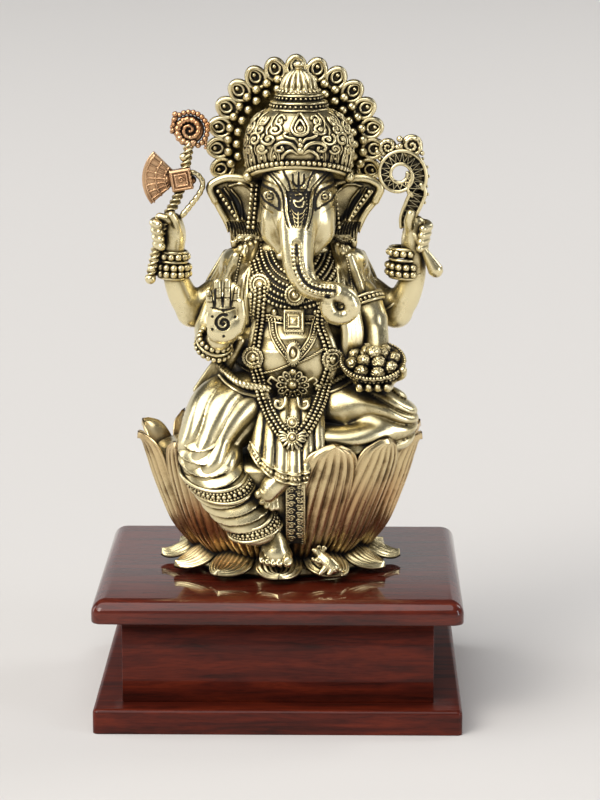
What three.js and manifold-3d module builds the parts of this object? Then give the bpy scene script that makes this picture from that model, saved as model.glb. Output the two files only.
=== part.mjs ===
// Seated elephant-headed deity in antique brass on a lotus, standing loose on a lacquered wood pedestal.
// Millimetres, +Z up, -Y towards the viewer. The origin is the centre of the pedestal's underside.
import * as THREE from "three";
import Module from "manifold-3d";
import { mergeVertices } from "three/addons/utils/BufferGeometryUtils.js";

const wasm = await Module();
wasm.setup();

// ---------------------------------------------------------------- driving dimensions
const JOINT_GAP = 0.3;            // clearance left between pieces that touch

// pedestal
const BOARD_WIDTH = 216;          // top board, left to right
const BOARD_DEPTH = 188.8;        // top board, front to back
const BOARD_THICK = 13.65;
const BOARD_ROUND = 8.6;          // roundover on the top edge
const BOARD_CORNER = 5;           // corner radius in plan
const PLINTH_THICK = 14.65;
const PLINTH_SETBACK = 0.4;       // plinth board edge behind the top board edge
const PLINTH_ROUND = 2;
const BOX_HEIGHT = 51.45;         // height of the four panels
const BOX_INSET = 16.8;           // panel face behind the board edge
const PANEL_THICK = 9;

// lotus
const LOTUS_WIDTH = 172;          // over the tips of the upper petals
const LOTUS_DEPTH = 140;
const SEAT_HEIGHT = 72;           // seat above the board
const WAIST_HEIGHT = 14;          // where the upper petals start
const WAIST_RADIUS = 50;
const SEAT_RADIUS = 76;
const LOTUS_WALL = 5;
const PETAL_COUNT = 12;           // in each ring
const PETAL_THICK = 3;
const PETAL_TIP_HEIGHT = 82;      // upper petal tips above the board
const PETAL_HALF_WIDTH = 18;     // at the widest
const LOWER_TIP_RADIUS = 71;
const LOWER_TIP_HEIGHT = 4.5;
const LOWER_HALF_WIDTH = 16;
const LOWER_THICK = 2.6;

// figure, as offsets from its own centre line and heights above the seat
const FIGURE_X = 8;               // centre line to the right of the lotus centre
const BELLY = { at: [0, -9, 63], r: [34, 33, 31] };
const CHEST = { at: [0, -3, 92], r: [32, 25, 28] };
const HIPS = { at: [0, -3, 24], r: [42, 32, 24] };
const SHOULDERS = { at: [0, 0, 103], r: [43, 15, 13] };
const CAVITY_RADIUS = 18;         // hollow inside the torso, open to the seat
const HEAD = { at: [0, -13, 141], r: [24, 24, 29] };
const CHEEK = { at: [0, -17, 128], r: [19, 19, 17] };
const CROWN_X = 3;                // the crown leans a little to the right
const CROWN_Y = -9;
const CROWN_DEPTH = 0.86;         // depth of the crown over its width
const CROWN_RADIUS = 32;
const CROWN_BASE = 162;
const CROWN_TOP = 203;
const CROWN_TILT = 0.4;           // rise of the rim towards the forehead
const TIER_RADIUS = 15;
const TIER_TOP = 214;
const FINIAL_RADIUS = 13;
const FINIAL_TOP = 231.5;
const HALO_X = 1;
const HALO_HEIGHT = 176;          // centre of the halo above the seat
const HALO_RADIUS = 55;
const HALO_THICK = 6;
const HALO_BACK = 20;             // distance of its back face behind the centre
const FEATHER_COUNT = 15;
const FEATHER_DEPTH = 4;          // depth of the scallops between feathers
const UPPER_ARM_RADIUS = 9;
const WRIST_RADIUS = 6.6;
const REAR_ELBOW = [60, 5, 80];
const REAR_WRIST = [70, 0, 106];
const REAR_HAND = [72, -3, 130];
const AXE_FOOT = [-85, -9, 102];
const AXE_TOP = [-59, -3, 190];
const AXE_SHAFT_RADIUS = 3.2;
const AXE_BLADE_THICK = 4;
const NOOSE_CENTRE = [64, -3, 164];
const NOOSE_RADIUS = 11;
const NOOSE_TUBE = 4.2;
const BOWL_CENTRE = [47, -44, 47];
const BOWL_RADIUS = 19;
const BOWL_DEPTH = 13;
const KNEE_LOW = [-54, -40, 19];
const ANKLE_LOW = [-11, -49, -47];
const KNEE_SIDE = [61, -22, 17];
const GARLAND_DROP = 25;          // lowest bead above the seat
const APRON_TOP = 36;
const APRON_HEM = -4;
const APRON_WIDTH = 46;

// ---------------------------------------------------------------- derived positions
const BOX_BOTTOM = PLINTH_THICK + JOINT_GAP;
const BOX_TOP = BOX_BOTTOM + BOX_HEIGHT - 2 * JOINT_GAP;
const BOARD_BOTTOM = BOX_TOP + JOINT_GAP;
const BOARD_TOP = BOARD_BOTTOM + BOARD_THICK;
const STATUE_Z = BOARD_TOP + JOINT_GAP;
const SEAT_Z = STATUE_Z + SEAT_HEIGHT;
const DEPTH_RATIO = LOTUS_DEPTH / LOTUS_WIDTH;

// a point of the figure in the part's frame
function fig([x, y, h]) {
  return [FIGURE_X + x, y, SEAT_Z + h];
}

function mirrored([x, y, z]) {
  return [-x, y, z];
}

// ---------------------------------------------------------------- shape helpers
function solid(geometry) {
  const bare = geometry.index ? geometry.toNonIndexed() : geometry.clone();
  bare.deleteAttribute("uv");
  bare.deleteAttribute("normal");
  const merged = mergeVertices(bare, 1e-3);
  const points = new Float32Array(merged.attributes.position.array);
  const faces = [];
  let volume = 0;
  for (let i = 0; i < merged.index.count; i += 3) {
    const [a, b, c] = [0, 1, 2].map((k) => merged.index.getX(i + k));
    if (a === b || b === c || c === a) continue;
    faces.push(a, b, c);
    const [p, q, r] = [a, b, c].map((k) => new THREE.Vector3().fromArray(points, 3 * k));
    volume += p.dot(q.cross(r));
  }
  const triVerts = new Uint32Array(volume < 0 ? faces.reverse() : faces);
  return new wasm.Manifold(new wasm.Mesh({ numProp: 3, vertProperties: points, triVerts }));
}

function joined(list) {
  return list.reduce((sum, next) => sum.add(next));
}

function ball(at, r, grow = 0, sides = 16) {
  const shape = new THREE.SphereGeometry(1, sides, Math.round(sides * 0.6));
  shape.rotateX(Math.PI / 2);
  shape.scale(r[0] + grow, r[1] + grow, r[2] + grow);
  shape.translate(...at);
  return solid(shape);
}

function block(low, high, grow = 0) {
  const size = high.map((v, i) => v - low[i] + 2 * grow);
  const shape = new THREE.BoxGeometry(...size);
  shape.translate(...high.map((v, i) => (v + low[i]) / 2));
  return solid(shape);
}

// round-ended tube along points; flat = [across, through] factors on the radius, facing = through direction
function limb(points, radii, options = {}) {
  const { grow = 0, sides = 10, steps = 6, flat = null, facing = [0, 1, 0] } = options;
  const curve = new THREE.CatmullRomCurve3(points.map((p) => new THREE.Vector3(...p)));
  const frames = curve.computeFrenetFrames(steps, false);
  const capRings = 1;
  const total = steps + 2 * capRings;
  const shape = new THREE.CylinderGeometry(1, 1, 1, sides, total);
  const place = shape.attributes.position;
  for (let i = 0; i < place.count; i += 1) {
    const ring = Math.round((0.5 - place.getY(i)) * total);
    const step = Math.min(Math.max(ring - capRings, 0), steps);
    const t = step / steps;
    const span = t * (radii.length - 1);
    const k = Math.min(Math.floor(span), radii.length - 2);
    const radius = radii[k] + (radii[k + 1] - radii[k]) * (span - k) + grow;
    const fromEnd = Math.min(ring, total - ring);
    const angle = Math.min(fromEnd / capRings, 1) * Math.PI / 2;
    const atEnd = ring < total / 2 ? -1 : 1;
    const along = fromEnd < capRings ? atEnd * radius * Math.cos(angle) * (flat ? flat[1] : 1) : 0;
    const centre = curve.getPointAt(t);
    const tangent = frames.tangents[step];
    let across = frames.normals[step];
    let through = frames.binormals[step];
    if (flat) {
      across = new THREE.Vector3().crossVectors(tangent, new THREE.Vector3(...facing)).normalize();
      through = new THREE.Vector3().crossVectors(across, tangent).normalize();
    }
    const spread = radius * Math.sin(angle);
    centre.addScaledVector(tangent, along);
    centre.addScaledVector(across, place.getX(i) * spread * (flat ? flat[0] : 1));
    centre.addScaledVector(through, place.getZ(i) * spread * (flat ? flat[1] : 1));
    place.setXYZ(i, centre.x, centre.y, centre.z);
  }
  return solid(shape);
}

// closed ring about the vertical, squashed to rx by ry and tipped forwards by tilt
function ring(at, rx, ry, tube, tilt = 0, grow = 0, around = 20) {
  const shape = new THREE.TorusGeometry(rx, tube + grow, 6, around);
  shape.scale(1, ry / rx, 1);
  shape.rotateX(tilt);
  shape.translate(...at);
  return solid(shape);
}

// turned shape about a vertical axis through at; profile pairs are [radius, height]
function turned(at, profile, around = 24, depthScale = 1) {
  const shape = new THREE.LatheGeometry(profile.map(([r, z]) => new THREE.Vector2(r, z)), around);
  shape.rotateX(Math.PI / 2);
  shape.scale(1, depthScale, 1);
  shape.translate(...at);
  return solid(shape);
}

// plate cut from an outline of [x, z] pairs, its middle plane at y
function plate(outline, y, thick, grow = 0) {
  const middle = outline.reduce((sum, p) => [sum[0] + p[0] / outline.length, sum[1] + p[1] / outline.length], [0, 0]);
  const moved = outline.map(([x, z]) => {
    const dx = x - middle[0];
    const dz = z - middle[1];
    const far = Math.hypot(dx, dz);
    return new THREE.Vector2(x + (dx / far) * grow * 1.3, z + (dz / far) * grow * 1.3);
  });
  const shape = new THREE.ExtrudeGeometry(new THREE.Shape(moved), { depth: thick + 2 * grow, bevelEnabled: false });
  shape.rotateX(Math.PI / 2);
  shape.translate(0, y + thick / 2 + grow, 0);
  return solid(shape);
}

// sheet bent over a surface: surface(u, v) gives a point, u and v run 0..1
function sheet(surface, thick, outward, grow = 0, across = 4, along = 4) {
  const shape = new THREE.BoxGeometry(1, 1, 1, across, along, 1);
  const place = shape.attributes.position;
  for (let i = 0; i < place.count; i += 1) {
    const [u, v, w] = [place.getX(i) + 0.5, place.getY(i) + 0.5, place.getZ(i)];
    const point = new THREE.Vector3(...surface(u, v, grow));
    point.addScaledVector(new THREE.Vector3(...outward(u, v)), w * (thick + 2 * grow));
    place.setXYZ(i, point.x, point.y, point.z);
  }
  return solid(shape);
}

// ---------------------------------------------------------------- assembling
const part = new THREE.Group();
part.name = "deity_statue_on_pedestal";
const made = [];

function material(slot) {
  const wood = slot === "lacquered_wood";
  const finish = new THREE.MeshStandardMaterial({
    color: wood ? 0x5a2318 : 0xb39a5e,
    metalness: wood ? 0 : 1,
    roughness: wood ? 0.25 : 0.35,
  });
  finish.name = slot;
  return finish;
}

function boxesMeet(a, b) {
  return [0, 1, 2].every((k) => a.min[k] < b.max[k] && b.min[k] < a.max[k]);
}

// the biggest separate body of a solid, without crumbs
function mainBody(body) {
  const bodies = body.decompose();
  return bodies.reduce((best, next) => (next.volume() > best.volume() ? next : best));
}

// shape(grow) builds the piece enlarged by grow; the piece gives way to everything made before it
function addPiece(name, slot, shape) {
  let body = shape(0);
  const box = body.boundingBox();
  for (const other of made) {
    if (boxesMeet(box, other.box)) body = body.subtract(other.grown());
  }
  body = mainBody(body);
  const grownShape = shape(JOINT_GAP);
  made.push({ name, box: grownShape.boundingBox(), grown: () => grownShape });
  const raw = body.getMesh();
  const geometry = new THREE.BufferGeometry();
  const points = [];
  for (let i = 0; i < raw.vertProperties.length; i += raw.numProp) {
    points.push(raw.vertProperties[i], raw.vertProperties[i + 1], raw.vertProperties[i + 2]);
  }
  geometry.setAttribute("position", new THREE.Float32BufferAttribute(points, 3));
  geometry.setIndex(Array.from(raw.triVerts));
  geometry.computeVertexNormals();
  const mesh = new THREE.Mesh(geometry, material(slot));
  mesh.name = name;
  part.add(mesh);
}

const BRASS = "antique_brass";
const WOOD = "lacquered_wood";

// ---------------------------------------------------------------- pedestal
// board with its upper edge rounded over
function roundedBoard(width, depth, bottom, thick, round, corner, grow) {
  const w = width / 2 - round + grow;
  const d = depth / 2 - round + grow;
  const c = Math.max(corner - round, 0.5);
  const plan = new THREE.Shape();
  plan.moveTo(-w + c, -d);
  plan.lineTo(w - c, -d);
  plan.quadraticCurveTo(w, -d, w, -d + c);
  plan.lineTo(w, d - c);
  plan.quadraticCurveTo(w, d, w - c, d);
  plan.lineTo(-w + c, d);
  plan.quadraticCurveTo(-w, d, -w, d - c);
  plan.lineTo(-w, -d + c);
  plan.quadraticCurveTo(-w, -d, -w + c, -d);
  const shape = new THREE.ExtrudeGeometry(plan, {
    depth: thick, bevelEnabled: true, bevelThickness: round, bevelSize: round, bevelSegments: 4, curveSegments: 3,
  });
  shape.translate(0, 0, bottom - round + grow);
  const reach = width + depth;
  const below = block([-reach, -reach, bottom - 3 * round - 9], [reach, reach, bottom - grow]);
  return solid(shape).subtract(below);
}

function pedestal() {
  const plinthW = BOARD_WIDTH - 2 * PLINTH_SETBACK;
  const plinthD = BOARD_DEPTH - 2 * PLINTH_SETBACK;
  addPiece("plinth_board", WOOD,
    (g) => roundedBoard(plinthW, plinthD, 0, PLINTH_THICK, PLINTH_ROUND, BOARD_CORNER, g));
  addPiece("top_board", WOOD,
    (g) => roundedBoard(BOARD_WIDTH, BOARD_DEPTH, BOARD_BOTTOM, BOARD_THICK, BOARD_ROUND, BOARD_CORNER, g));
  const x = BOARD_WIDTH / 2 - BOX_INSET;
  const y = BOARD_DEPTH / 2 - BOX_INSET;
  const inner = y - PANEL_THICK - JOINT_GAP;
  addPiece("panel_front", WOOD, (g) => block([-x, -y, BOX_BOTTOM], [x, -y + PANEL_THICK, BOX_TOP], g));
  addPiece("panel_back", WOOD, (g) => block([-x, y - PANEL_THICK, BOX_BOTTOM], [x, y, BOX_TOP], g));
  addPiece("panel_left", WOOD, (g) => block([-x, -inner, BOX_BOTTOM], [-x + PANEL_THICK, inner, BOX_TOP], g));
  addPiece("panel_right", WOOD, (g) => block([x - PANEL_THICK, -inner, BOX_BOTTOM], [x, inner, BOX_TOP], g));
}

// ---------------------------------------------------------------- lotus
// outer radius of the lotus core at a height above the board
function coreRadius(z) {
  const t = Math.min(Math.max((z - WAIST_HEIGHT) / (SEAT_HEIGHT - WAIST_HEIGHT), 0), 1);
  return WAIST_RADIUS + (SEAT_RADIUS - WAIST_RADIUS) * Math.pow(t, 0.75);
}

function lotusCore() {
  addPiece("lotus_core", BRASS, (g) => {
    const outer = [];
    const inner = [];
    const steps = 4;
    for (let i = 0; i <= steps; i += 1) {
      const z = WAIST_HEIGHT + ((SEAT_HEIGHT - WAIST_HEIGHT) * i) / steps;
      outer.push([coreRadius(z) + g, z + (i === steps ? g : 0)]);
      inner.push([coreRadius(z) - LOTUS_WALL - g, z - (i === steps ? LOTUS_WALL + g : 0)]);
    }
    const foot = [[WAIST_RADIUS - LOTUS_WALL - g, -g], [WAIST_RADIUS + g, -g]];
    const profile = [...foot, ...outer, [0, SEAT_HEIGHT + g], [0, SEAT_HEIGHT - LOTUS_WALL - g], ...inner.reverse()];
    return turned([0, 0, STATUE_Z], [...profile, foot[0]], 24, DEPTH_RATIO);
  });
}

// narrowing of a petal towards its tip
function tipRound(v) {
  return Math.max(Math.sqrt(1 - Math.pow(v, 8)), 0.3);
}

// one petal standing on the core, its centre at angle; built round, then squashed to the lotus plan
function petalShape(angle, path, halfWidth, thick, grow) {
  const across = 4;
  const along = halfWidth < PETAL_HALF_WIDTH ? 5 : 6;
  const shape = new THREE.BoxGeometry(1, 1, 1, across, along, 1);
  const place = shape.attributes.position;
  for (let i = 0; i < place.count; i += 1) {
    const side = 2 * place.getX(i);
    const v = place.getY(i) + 0.5;
    const [radius, height] = path(v);
    const [r2, h2] = path(Math.min(v + 0.01, 1));
    const [r1, h1] = path(Math.min(v + 0.01, 1) - 0.01);
    const slope = Math.hypot(r2 - r1, h2 - h1);
    const out = [(h2 - h1) / slope, -(r2 - r1) / slope];
    const half = halfWidth * (0.6 + 0.4 * Math.sin(Math.PI * Math.min(0.75 * v, 0.5))) * tipRound(v) + grow;
    const offset = (place.getZ(i) + 0.5) * thick + 2 * place.getZ(i) * grow * Math.sign(thick);
    const r = radius + out[0] * offset;
    const z = height + out[1] * offset;
    const turn = angle + (side * half) / radius;
    place.setXYZ(i, r * Math.cos(turn), r * Math.sin(turn) * DEPTH_RATIO, STATUE_Z + z);
  }
  return solid(shape);
}

function petals() {
  const tip = LOTUS_WIDTH / 2;
  const skin = JOINT_GAP / DEPTH_RATIO;
  const upper = (v) => {
    const z = WAIST_HEIGHT + 1 + (PETAL_TIP_HEIGHT - WAIST_HEIGHT - 1) * v;
    const lip = Math.max(v - 0.8, 0) / 0.2;
    const flush = coreRadius(Math.min(z, SEAT_HEIGHT)) + skin;
    return [flush + (tip - PETAL_THICK - SEAT_RADIUS) * lip * lip, z - 3 * lip * lip];
  };
  for (let i = 0; i < PETAL_COUNT; i += 1) {
    const angle = (2 * Math.PI * (i + 0.5)) / PETAL_COUNT;
    addPiece(`upper_petal_${String(i + 1).padStart(2, "0")}`, BRASS,
      (g) => petalShape(angle, upper, PETAL_HALF_WIDTH, PETAL_THICK, g));
  }
  addPiece("lower_petal_ring", BRASS, (g) => {
    const inner = WAIST_RADIUS + skin + JOINT_GAP;
    const band = [[inner - g, 1 - g], [inner + 8 + g, 1 - g], [inner + 3 + g, WAIST_HEIGHT - 1 + g],
      [inner - g, WAIST_HEIGHT - 1 + g], [inner - g, 1 - g]];
    const lower = (v) => {
      const fall = 1 - v;
      const r = inner + 1 + (LOWER_TIP_RADIUS - inner - 1) * v;
      return [r, LOWER_TIP_HEIGHT - LOWER_THICK + (WAIST_HEIGHT - LOWER_TIP_HEIGHT - 2) * fall * fall];
    };
    const leaves = [];
    for (let i = 0; i < PETAL_COUNT; i += 1) {
      const angle = (2 * Math.PI * i) / PETAL_COUNT;
      leaves.push(petalShape(angle, lower, LOWER_HALF_WIDTH, -LOWER_THICK, g));
    }
    return joined([turned([0, 0, STATUE_Z], band, 24, DEPTH_RATIO), ...leaves]);
  });
}

// ---------------------------------------------------------------- figure
function torso() {
  addPiece("torso", BRASS, (g) => {
    const body = joined([HIPS, BELLY, CHEST, SHOULDERS].map((s) => ball(fig(s.at), s.r, g, 12)));
    const floor = block([-200, -200, SEAT_Z - 60], [200, 200, SEAT_Z + JOINT_GAP - g]);
    const neck = limb([fig([0, -2, 104]), fig([0, -8, 128])], [15, 14], { grow: g, steps: 2 });
    const cavity = limb([fig([0, -4, -30]), fig([0, -6, CHEST.at[2] - 12])], [CAVITY_RADIUS, CAVITY_RADIUS - 6],
      { grow: -g, steps: 3, sides: 12 });
    return body.add(neck).subtract(floor).subtract(cavity);
  });
}

function headPieces() {
  addPiece("head", BRASS, (g) => joined([HEAD, CHEEK].map((s) => ball(fig(s.at), s.r, g, 12))));
  const path = [[0, -30, 150], [0, -39, 132], [1.5, -43, 118], [4, -46, 106], [11, -48, 96], [20, -49, 89],
    [29, -49, 88], [34.5, -49, 94], [31.5, -49, 101], [26, -49, 101]];
  const widths = [11, 10.5, 9.2, 8.2, 7.2, 6.2, 5.4, 4.8, 4.4, 4];
  addPiece("trunk", BRASS, (g) => limb(path.map(fig), widths, { grow: g, steps: 13, sides: 8 }));
  const ear = [[-14, 166], [-38, 165], [-50, 158], [-44, 144], [-37, 130], [-35, 121], [-24, 124], [-17, 140]];
  for (const side of [-1, 1]) {
    const outline = ear.map(([x, h]) => {
      const [px, , pz] = fig([-side * x, 0, h]);
      return [px, pz];
    });
    const ordered = side > 0 ? outline : outline.reverse();
    addPiece(side < 0 ? "ear_left" : "ear_right", BRASS, (g) => plate(ordered, 2, 5, g));
  }
}

function crown() {
  const lean = (body) => body.warp((p) => {
    const lift = -(p[1] + 6) * CROWN_TILT * Math.max(0, 1 - Math.max(p[2] - SEAT_Z - CROWN_BASE, 0) / 34);
    p[2] += lift;
  });
  const [x, y] = fig([CROWN_X, CROWN_Y, 0]);
  addPiece("crown_dome", BRASS, (g) => {
    const r = CROWN_RADIUS;
    const rise = CROWN_TOP - CROWN_BASE;
    const profile = [[0, -g], [r - 1 + g, -g], [r + 1 + g, 5], [r + g, 0.45 * rise], [r - 3 + g, 0.7 * rise],
      [r - 9 + g, 0.92 * rise + g], [TIER_RADIUS + g, rise + g], [0, rise + g]];
    return lean(turned([x, y, SEAT_Z + CROWN_BASE], profile, 20, CROWN_DEPTH));
  });
  addPiece("crown_tiers", BRASS, (g) => {
    const base = CROWN_TOP + JOINT_GAP;
    const rise = TIER_TOP - base;
    const r = TIER_RADIUS;
    const profile = [[0, -g], [r + g, -g], [r + 1 + g, 2], [r + g, 0.45 * rise], [r - 1.5 + g, 0.5 * rise],
      [r - 0.5 + g, 0.8 * rise], [FINIAL_RADIUS - 1 + g, rise + g], [0, rise + g]];
    return turned([x, y, SEAT_Z + base], profile, 16, 0.95);
  });
  addPiece("crown_finial", BRASS, (g) => {
    const base = TIER_TOP + JOINT_GAP;
    const rise = FINIAL_TOP - base;
    const r = FINIAL_RADIUS;
    const profile = [[0, -g], [r - 1 + g, -g], [r + g, 1.5], [r - 2 + g, 0.2 * rise], [r - 3 + g, 0.45 * rise],
      [r * 0.45 + g, 0.72 * rise], [2.2 + g, 0.8 * rise], [3 + g, 0.9 * rise], [0, rise + g]];
    return turned([x, y, SEAT_Z + base], profile, 16, 0.95);
  });
}

function halo() {
  const outline = [];
  const start = -0.16 * Math.PI;
  const sweep = Math.PI - 2 * start;
  const perFeather = 4;
  for (let i = 0; i <= FEATHER_COUNT * perFeather; i += 1) {
    const angle = start + (sweep * i) / (FEATHER_COUNT * perFeather);
    const lobe = Math.abs(Math.sin((Math.PI * i) / perFeather));
    const radius = HALO_RADIUS - FEATHER_DEPTH + FEATHER_DEPTH * lobe;
    const [px, , pz] = fig([HALO_X + radius * Math.cos(angle), 0, HALO_HEIGHT + radius * Math.sin(angle)]);
    outline.push([px, pz]);
  }
  addPiece("halo_plate", BRASS, (g) => plate(outline, HALO_BACK - HALO_THICK / 2, HALO_THICK, g));
}

function bangles(from, to, inner, grow) {
  const a = new THREE.Vector3(...from);
  const b = new THREE.Vector3(...to);
  const long = a.distanceTo(b);
  const r = inner + JOINT_GAP;
  const profile = [[r - grow, -grow], [r + 2.5 + grow, -grow], [r + 4.5 + grow, 0.2 * long], [r + 2 + grow, 0.5 * long],
    [r + 4 + grow, 0.8 * long], [r + 2 + grow, long + grow], [r - grow, long + grow], [r - grow, -grow]];
  const shape = new THREE.LatheGeometry(profile.map(([pr, pz]) => new THREE.Vector2(pr, pz)), 12);
  const up = new THREE.Vector3(0, 1, 0);
  shape.applyQuaternion(new THREE.Quaternion().setFromUnitVectors(up, b.clone().sub(a).normalize()));
  shape.translate(a.x, a.y, a.z);
  return solid(shape);
}

function blend(a, b, t) {
  return a.map((v, i) => v + (b[i] - v) * t);
}

function rearArms() {
  for (const side of [-1, 1]) {
    const word = side < 0 ? "left" : "right";
    const place = (p) => fig(side < 0 ? mirrored(p) : p);
    const arm = [place([34, 4, 104]), place(REAR_ELBOW), place(REAR_WRIST), place(blend(REAR_WRIST, REAR_HAND, 0.5))];
    addPiece(`rear_arm_${word}`, BRASS, (g) => joined([
      limb([arm[0], arm[1]], [UPPER_ARM_RADIUS + 1, UPPER_ARM_RADIUS], { grow: g, steps: 2 }),
      limb([arm[1], arm[2], arm[3]], [UPPER_ARM_RADIUS - 0.4, WRIST_RADIUS, WRIST_RADIUS], { grow: g, steps: 3 }),
    ]));
    addPiece(`rear_bangles_${word}`, BRASS,
      (g) => bangles(blend(arm[1], arm[2], 0.86), blend(arm[2], arm[3], 0.75), WRIST_RADIUS + 0.6, g));
  }
}

function axe() {
  const foot = fig(AXE_FOOT);
  const top = fig(AXE_TOP);
  const bend = blend(foot, top, 0.45);
  bend[0] -= 2;
  addPiece("axe_shaft", BRASS,
    (g) => limb([foot, bend, blend(foot, top, 0.78), top], [AXE_SHAFT_RADIUS + 1, AXE_SHAFT_RADIUS, AXE_SHAFT_RADIUS],
      { grow: g, steps: 6, sides: 8 }));
  const hub = blend(foot, top, 0.7);
  const blade = [];
  const fan = 6;
  for (let i = 0; i <= fan; i += 1) {
    const angle = Math.PI * (0.66 + (0.56 * i) / fan);
    blade.push([hub[0] + 25 * Math.cos(angle), hub[2] + 21 * Math.sin(angle) + 2]);
  }
  blade.push([hub[0] - 7, hub[2] - 4], [hub[0] + 7, hub[2] - 7], [hub[0] + 9, hub[2] + 5], [hub[0] - 5, hub[2] + 8]);
  addPiece("axe_head", BRASS, (g) => plate(blade.reverse(), hub[1], AXE_BLADE_THICK + 4, g));
  const scroll = blend(foot, top, 1.0);
  addPiece("axe_scroll", BRASS, (g) => joined([
    ball([scroll[0] - 1, scroll[1], scroll[2] + 1], [10, 5, 10], g, 10),
    ball([scroll[0] + 6, scroll[1], scroll[2] - 8], [7, 4, 6], g, 10),
  ]));
}

function noose() {
  const [cx, cy, cz] = fig(NOOSE_CENTRE);
  addPiece("noose", BRASS, (g) => {
    const shape = new THREE.TorusGeometry(NOOSE_RADIUS, NOOSE_TUBE + g, 6, 16);
    shape.rotateX(Math.PI / 2);
    shape.translate(cx, cy, cz);
    const hand = fig(REAR_HAND);
    const neck = limb([[cx + 10, cy, cz - 6], [cx + 6, cy, cz - 18], hand, [hand[0] + 6, hand[1] - 2, hand[2] - 14],
      [hand[0] + 15, hand[1] - 4, hand[2] - 22]], [4.5, 4, 3.4, 3, 4.4], { grow: g, steps: 8, sides: 8 });
    const crest = ball([cx + 4, cy, cz + NOOSE_RADIUS + 6], [13, 4.5, 7], g, 12);
    return joined([solid(shape), neck, crest]);
  });
}

function fist(at, side, grow) {
  const [x, y, z] = at;
  const fingers = [-1.5, -0.5, 0.5, 1.5].map((k) => ball([x + side * 4, y - 6, z + 4.4 * k], [6, 4, 2.7], grow, 6));
  return joined([ball([x, y + 2, z], [8, 7, 11], grow, 8), ...fingers]);
}

function rearHands() {
  addPiece("rear_hand_left", BRASS, (g) => fist(fig(mirrored(REAR_HAND)), -1, g));
  addPiece("rear_hand_right", BRASS, (g) => fist(fig(REAR_HAND), 1, g));
}

function frontArms() {
  const arms = {
    left: [[-33, -5, 100], [-46, -10, 72], [-42, -38, 72]],
    right: [[33, -5, 100], [47, -12, 72], [48, -34, 47]],
  };
  for (const [word, path] of Object.entries(arms)) {
    const [shoulder, elbow, wrist] = path.map(fig);
    const end = word === "left" ? WRIST_RADIUS : WRIST_RADIUS + 1.4;
    addPiece(`front_arm_${word}`, BRASS, (g) => joined([
      limb([shoulder, elbow], [UPPER_ARM_RADIUS + 1, UPPER_ARM_RADIUS], { grow: g, steps: 2 }),
      limb([elbow, wrist], [UPPER_ARM_RADIUS - 0.4, end], { grow: g, steps: 2 }),
    ]));
  }
  addPiece("blessing_hand", BRASS, (g) => {
    const palm = ball(fig([-40.5, -50, 90]), [10, 5, 12], g, 10);
    const wrist = limb([fig([-42, -41, 74]), fig([-41, -48, 84])], [6, 7], { grow: g, steps: 2 });
    const fingers = [0, 1, 2, 3].map((k) => limb(
      [fig([-46.5 + 4.6 * k, -51, 97]), fig([-47 + 5 * k, -50, 107 + (k === 1 || k === 2 ? 3 : 0)])],
      [2.5, 2.1], { grow: g, steps: 1, sides: 6 }));
    const thumb = limb([fig([-34, -51, 86]), fig([-29, -51, 95])], [3, 2.4], { grow: g, steps: 1, sides: 6 });
    return joined([palm, wrist, ...fingers, thumb]);
  });
  addPiece("bowl", BRASS, (g) => {
    const r = BOWL_RADIUS;
    const d = BOWL_DEPTH;
    const profile = [[0, -g], [7 + g, -g], [r * 0.8 + g, d * 0.4], [r + g, d - 1.5], [r + g, d + g], [r - 2 - g, d + g],
      [r * 0.8 - 2 - g, d * 0.45], [6 - g, 2 + g], [0, 2 + g]];
    return turned(fig(BOWL_CENTRE), profile, 16, 0.85);
  });
  addPiece("sweets", BRASS, (g) => {
    const [x, y, z] = fig(BOWL_CENTRE);
    const rim = z + BOWL_DEPTH;
    const balls = [ball([x, y, rim - 4], [14, 12, 6], g, 12), ball([x, y + 1, rim + 8], [5.5, 5.5, 5], g, 8)];
    for (let i = 0; i < 8; i += 1) {
      const turn = (2 * Math.PI * i) / 8;
      balls.push(ball([x + 11 * Math.cos(turn), y + 9.4 * Math.sin(turn), rim + 3], [5.6, 5.4, 5.2], g, 7));
    }
    return joined(balls);
  });
  addPiece("serving_hand", BRASS, (g) => {
    const [x, y, z] = fig(BOWL_CENTRE);
    const palm = ball([x, y + 2, z - 3], [13, 11, 5], g, 10);
    const fingers = [-1.5, -0.5, 0.5, 1.5].map((k) => limb(
      [[x + 5 * k, y - 4, z - 3], [x + 6 * k, y - 14, z + 3]], [2.8, 2.4], { grow: g, steps: 1, sides: 6 }));
    return joined([palm, ...fingers]);
  });
  addPiece("front_bangles", BRASS, (g) => bangles(fig([-44, -24, 72]), fig([-42.4, -35.5, 72]), 8, g));
}

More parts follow.
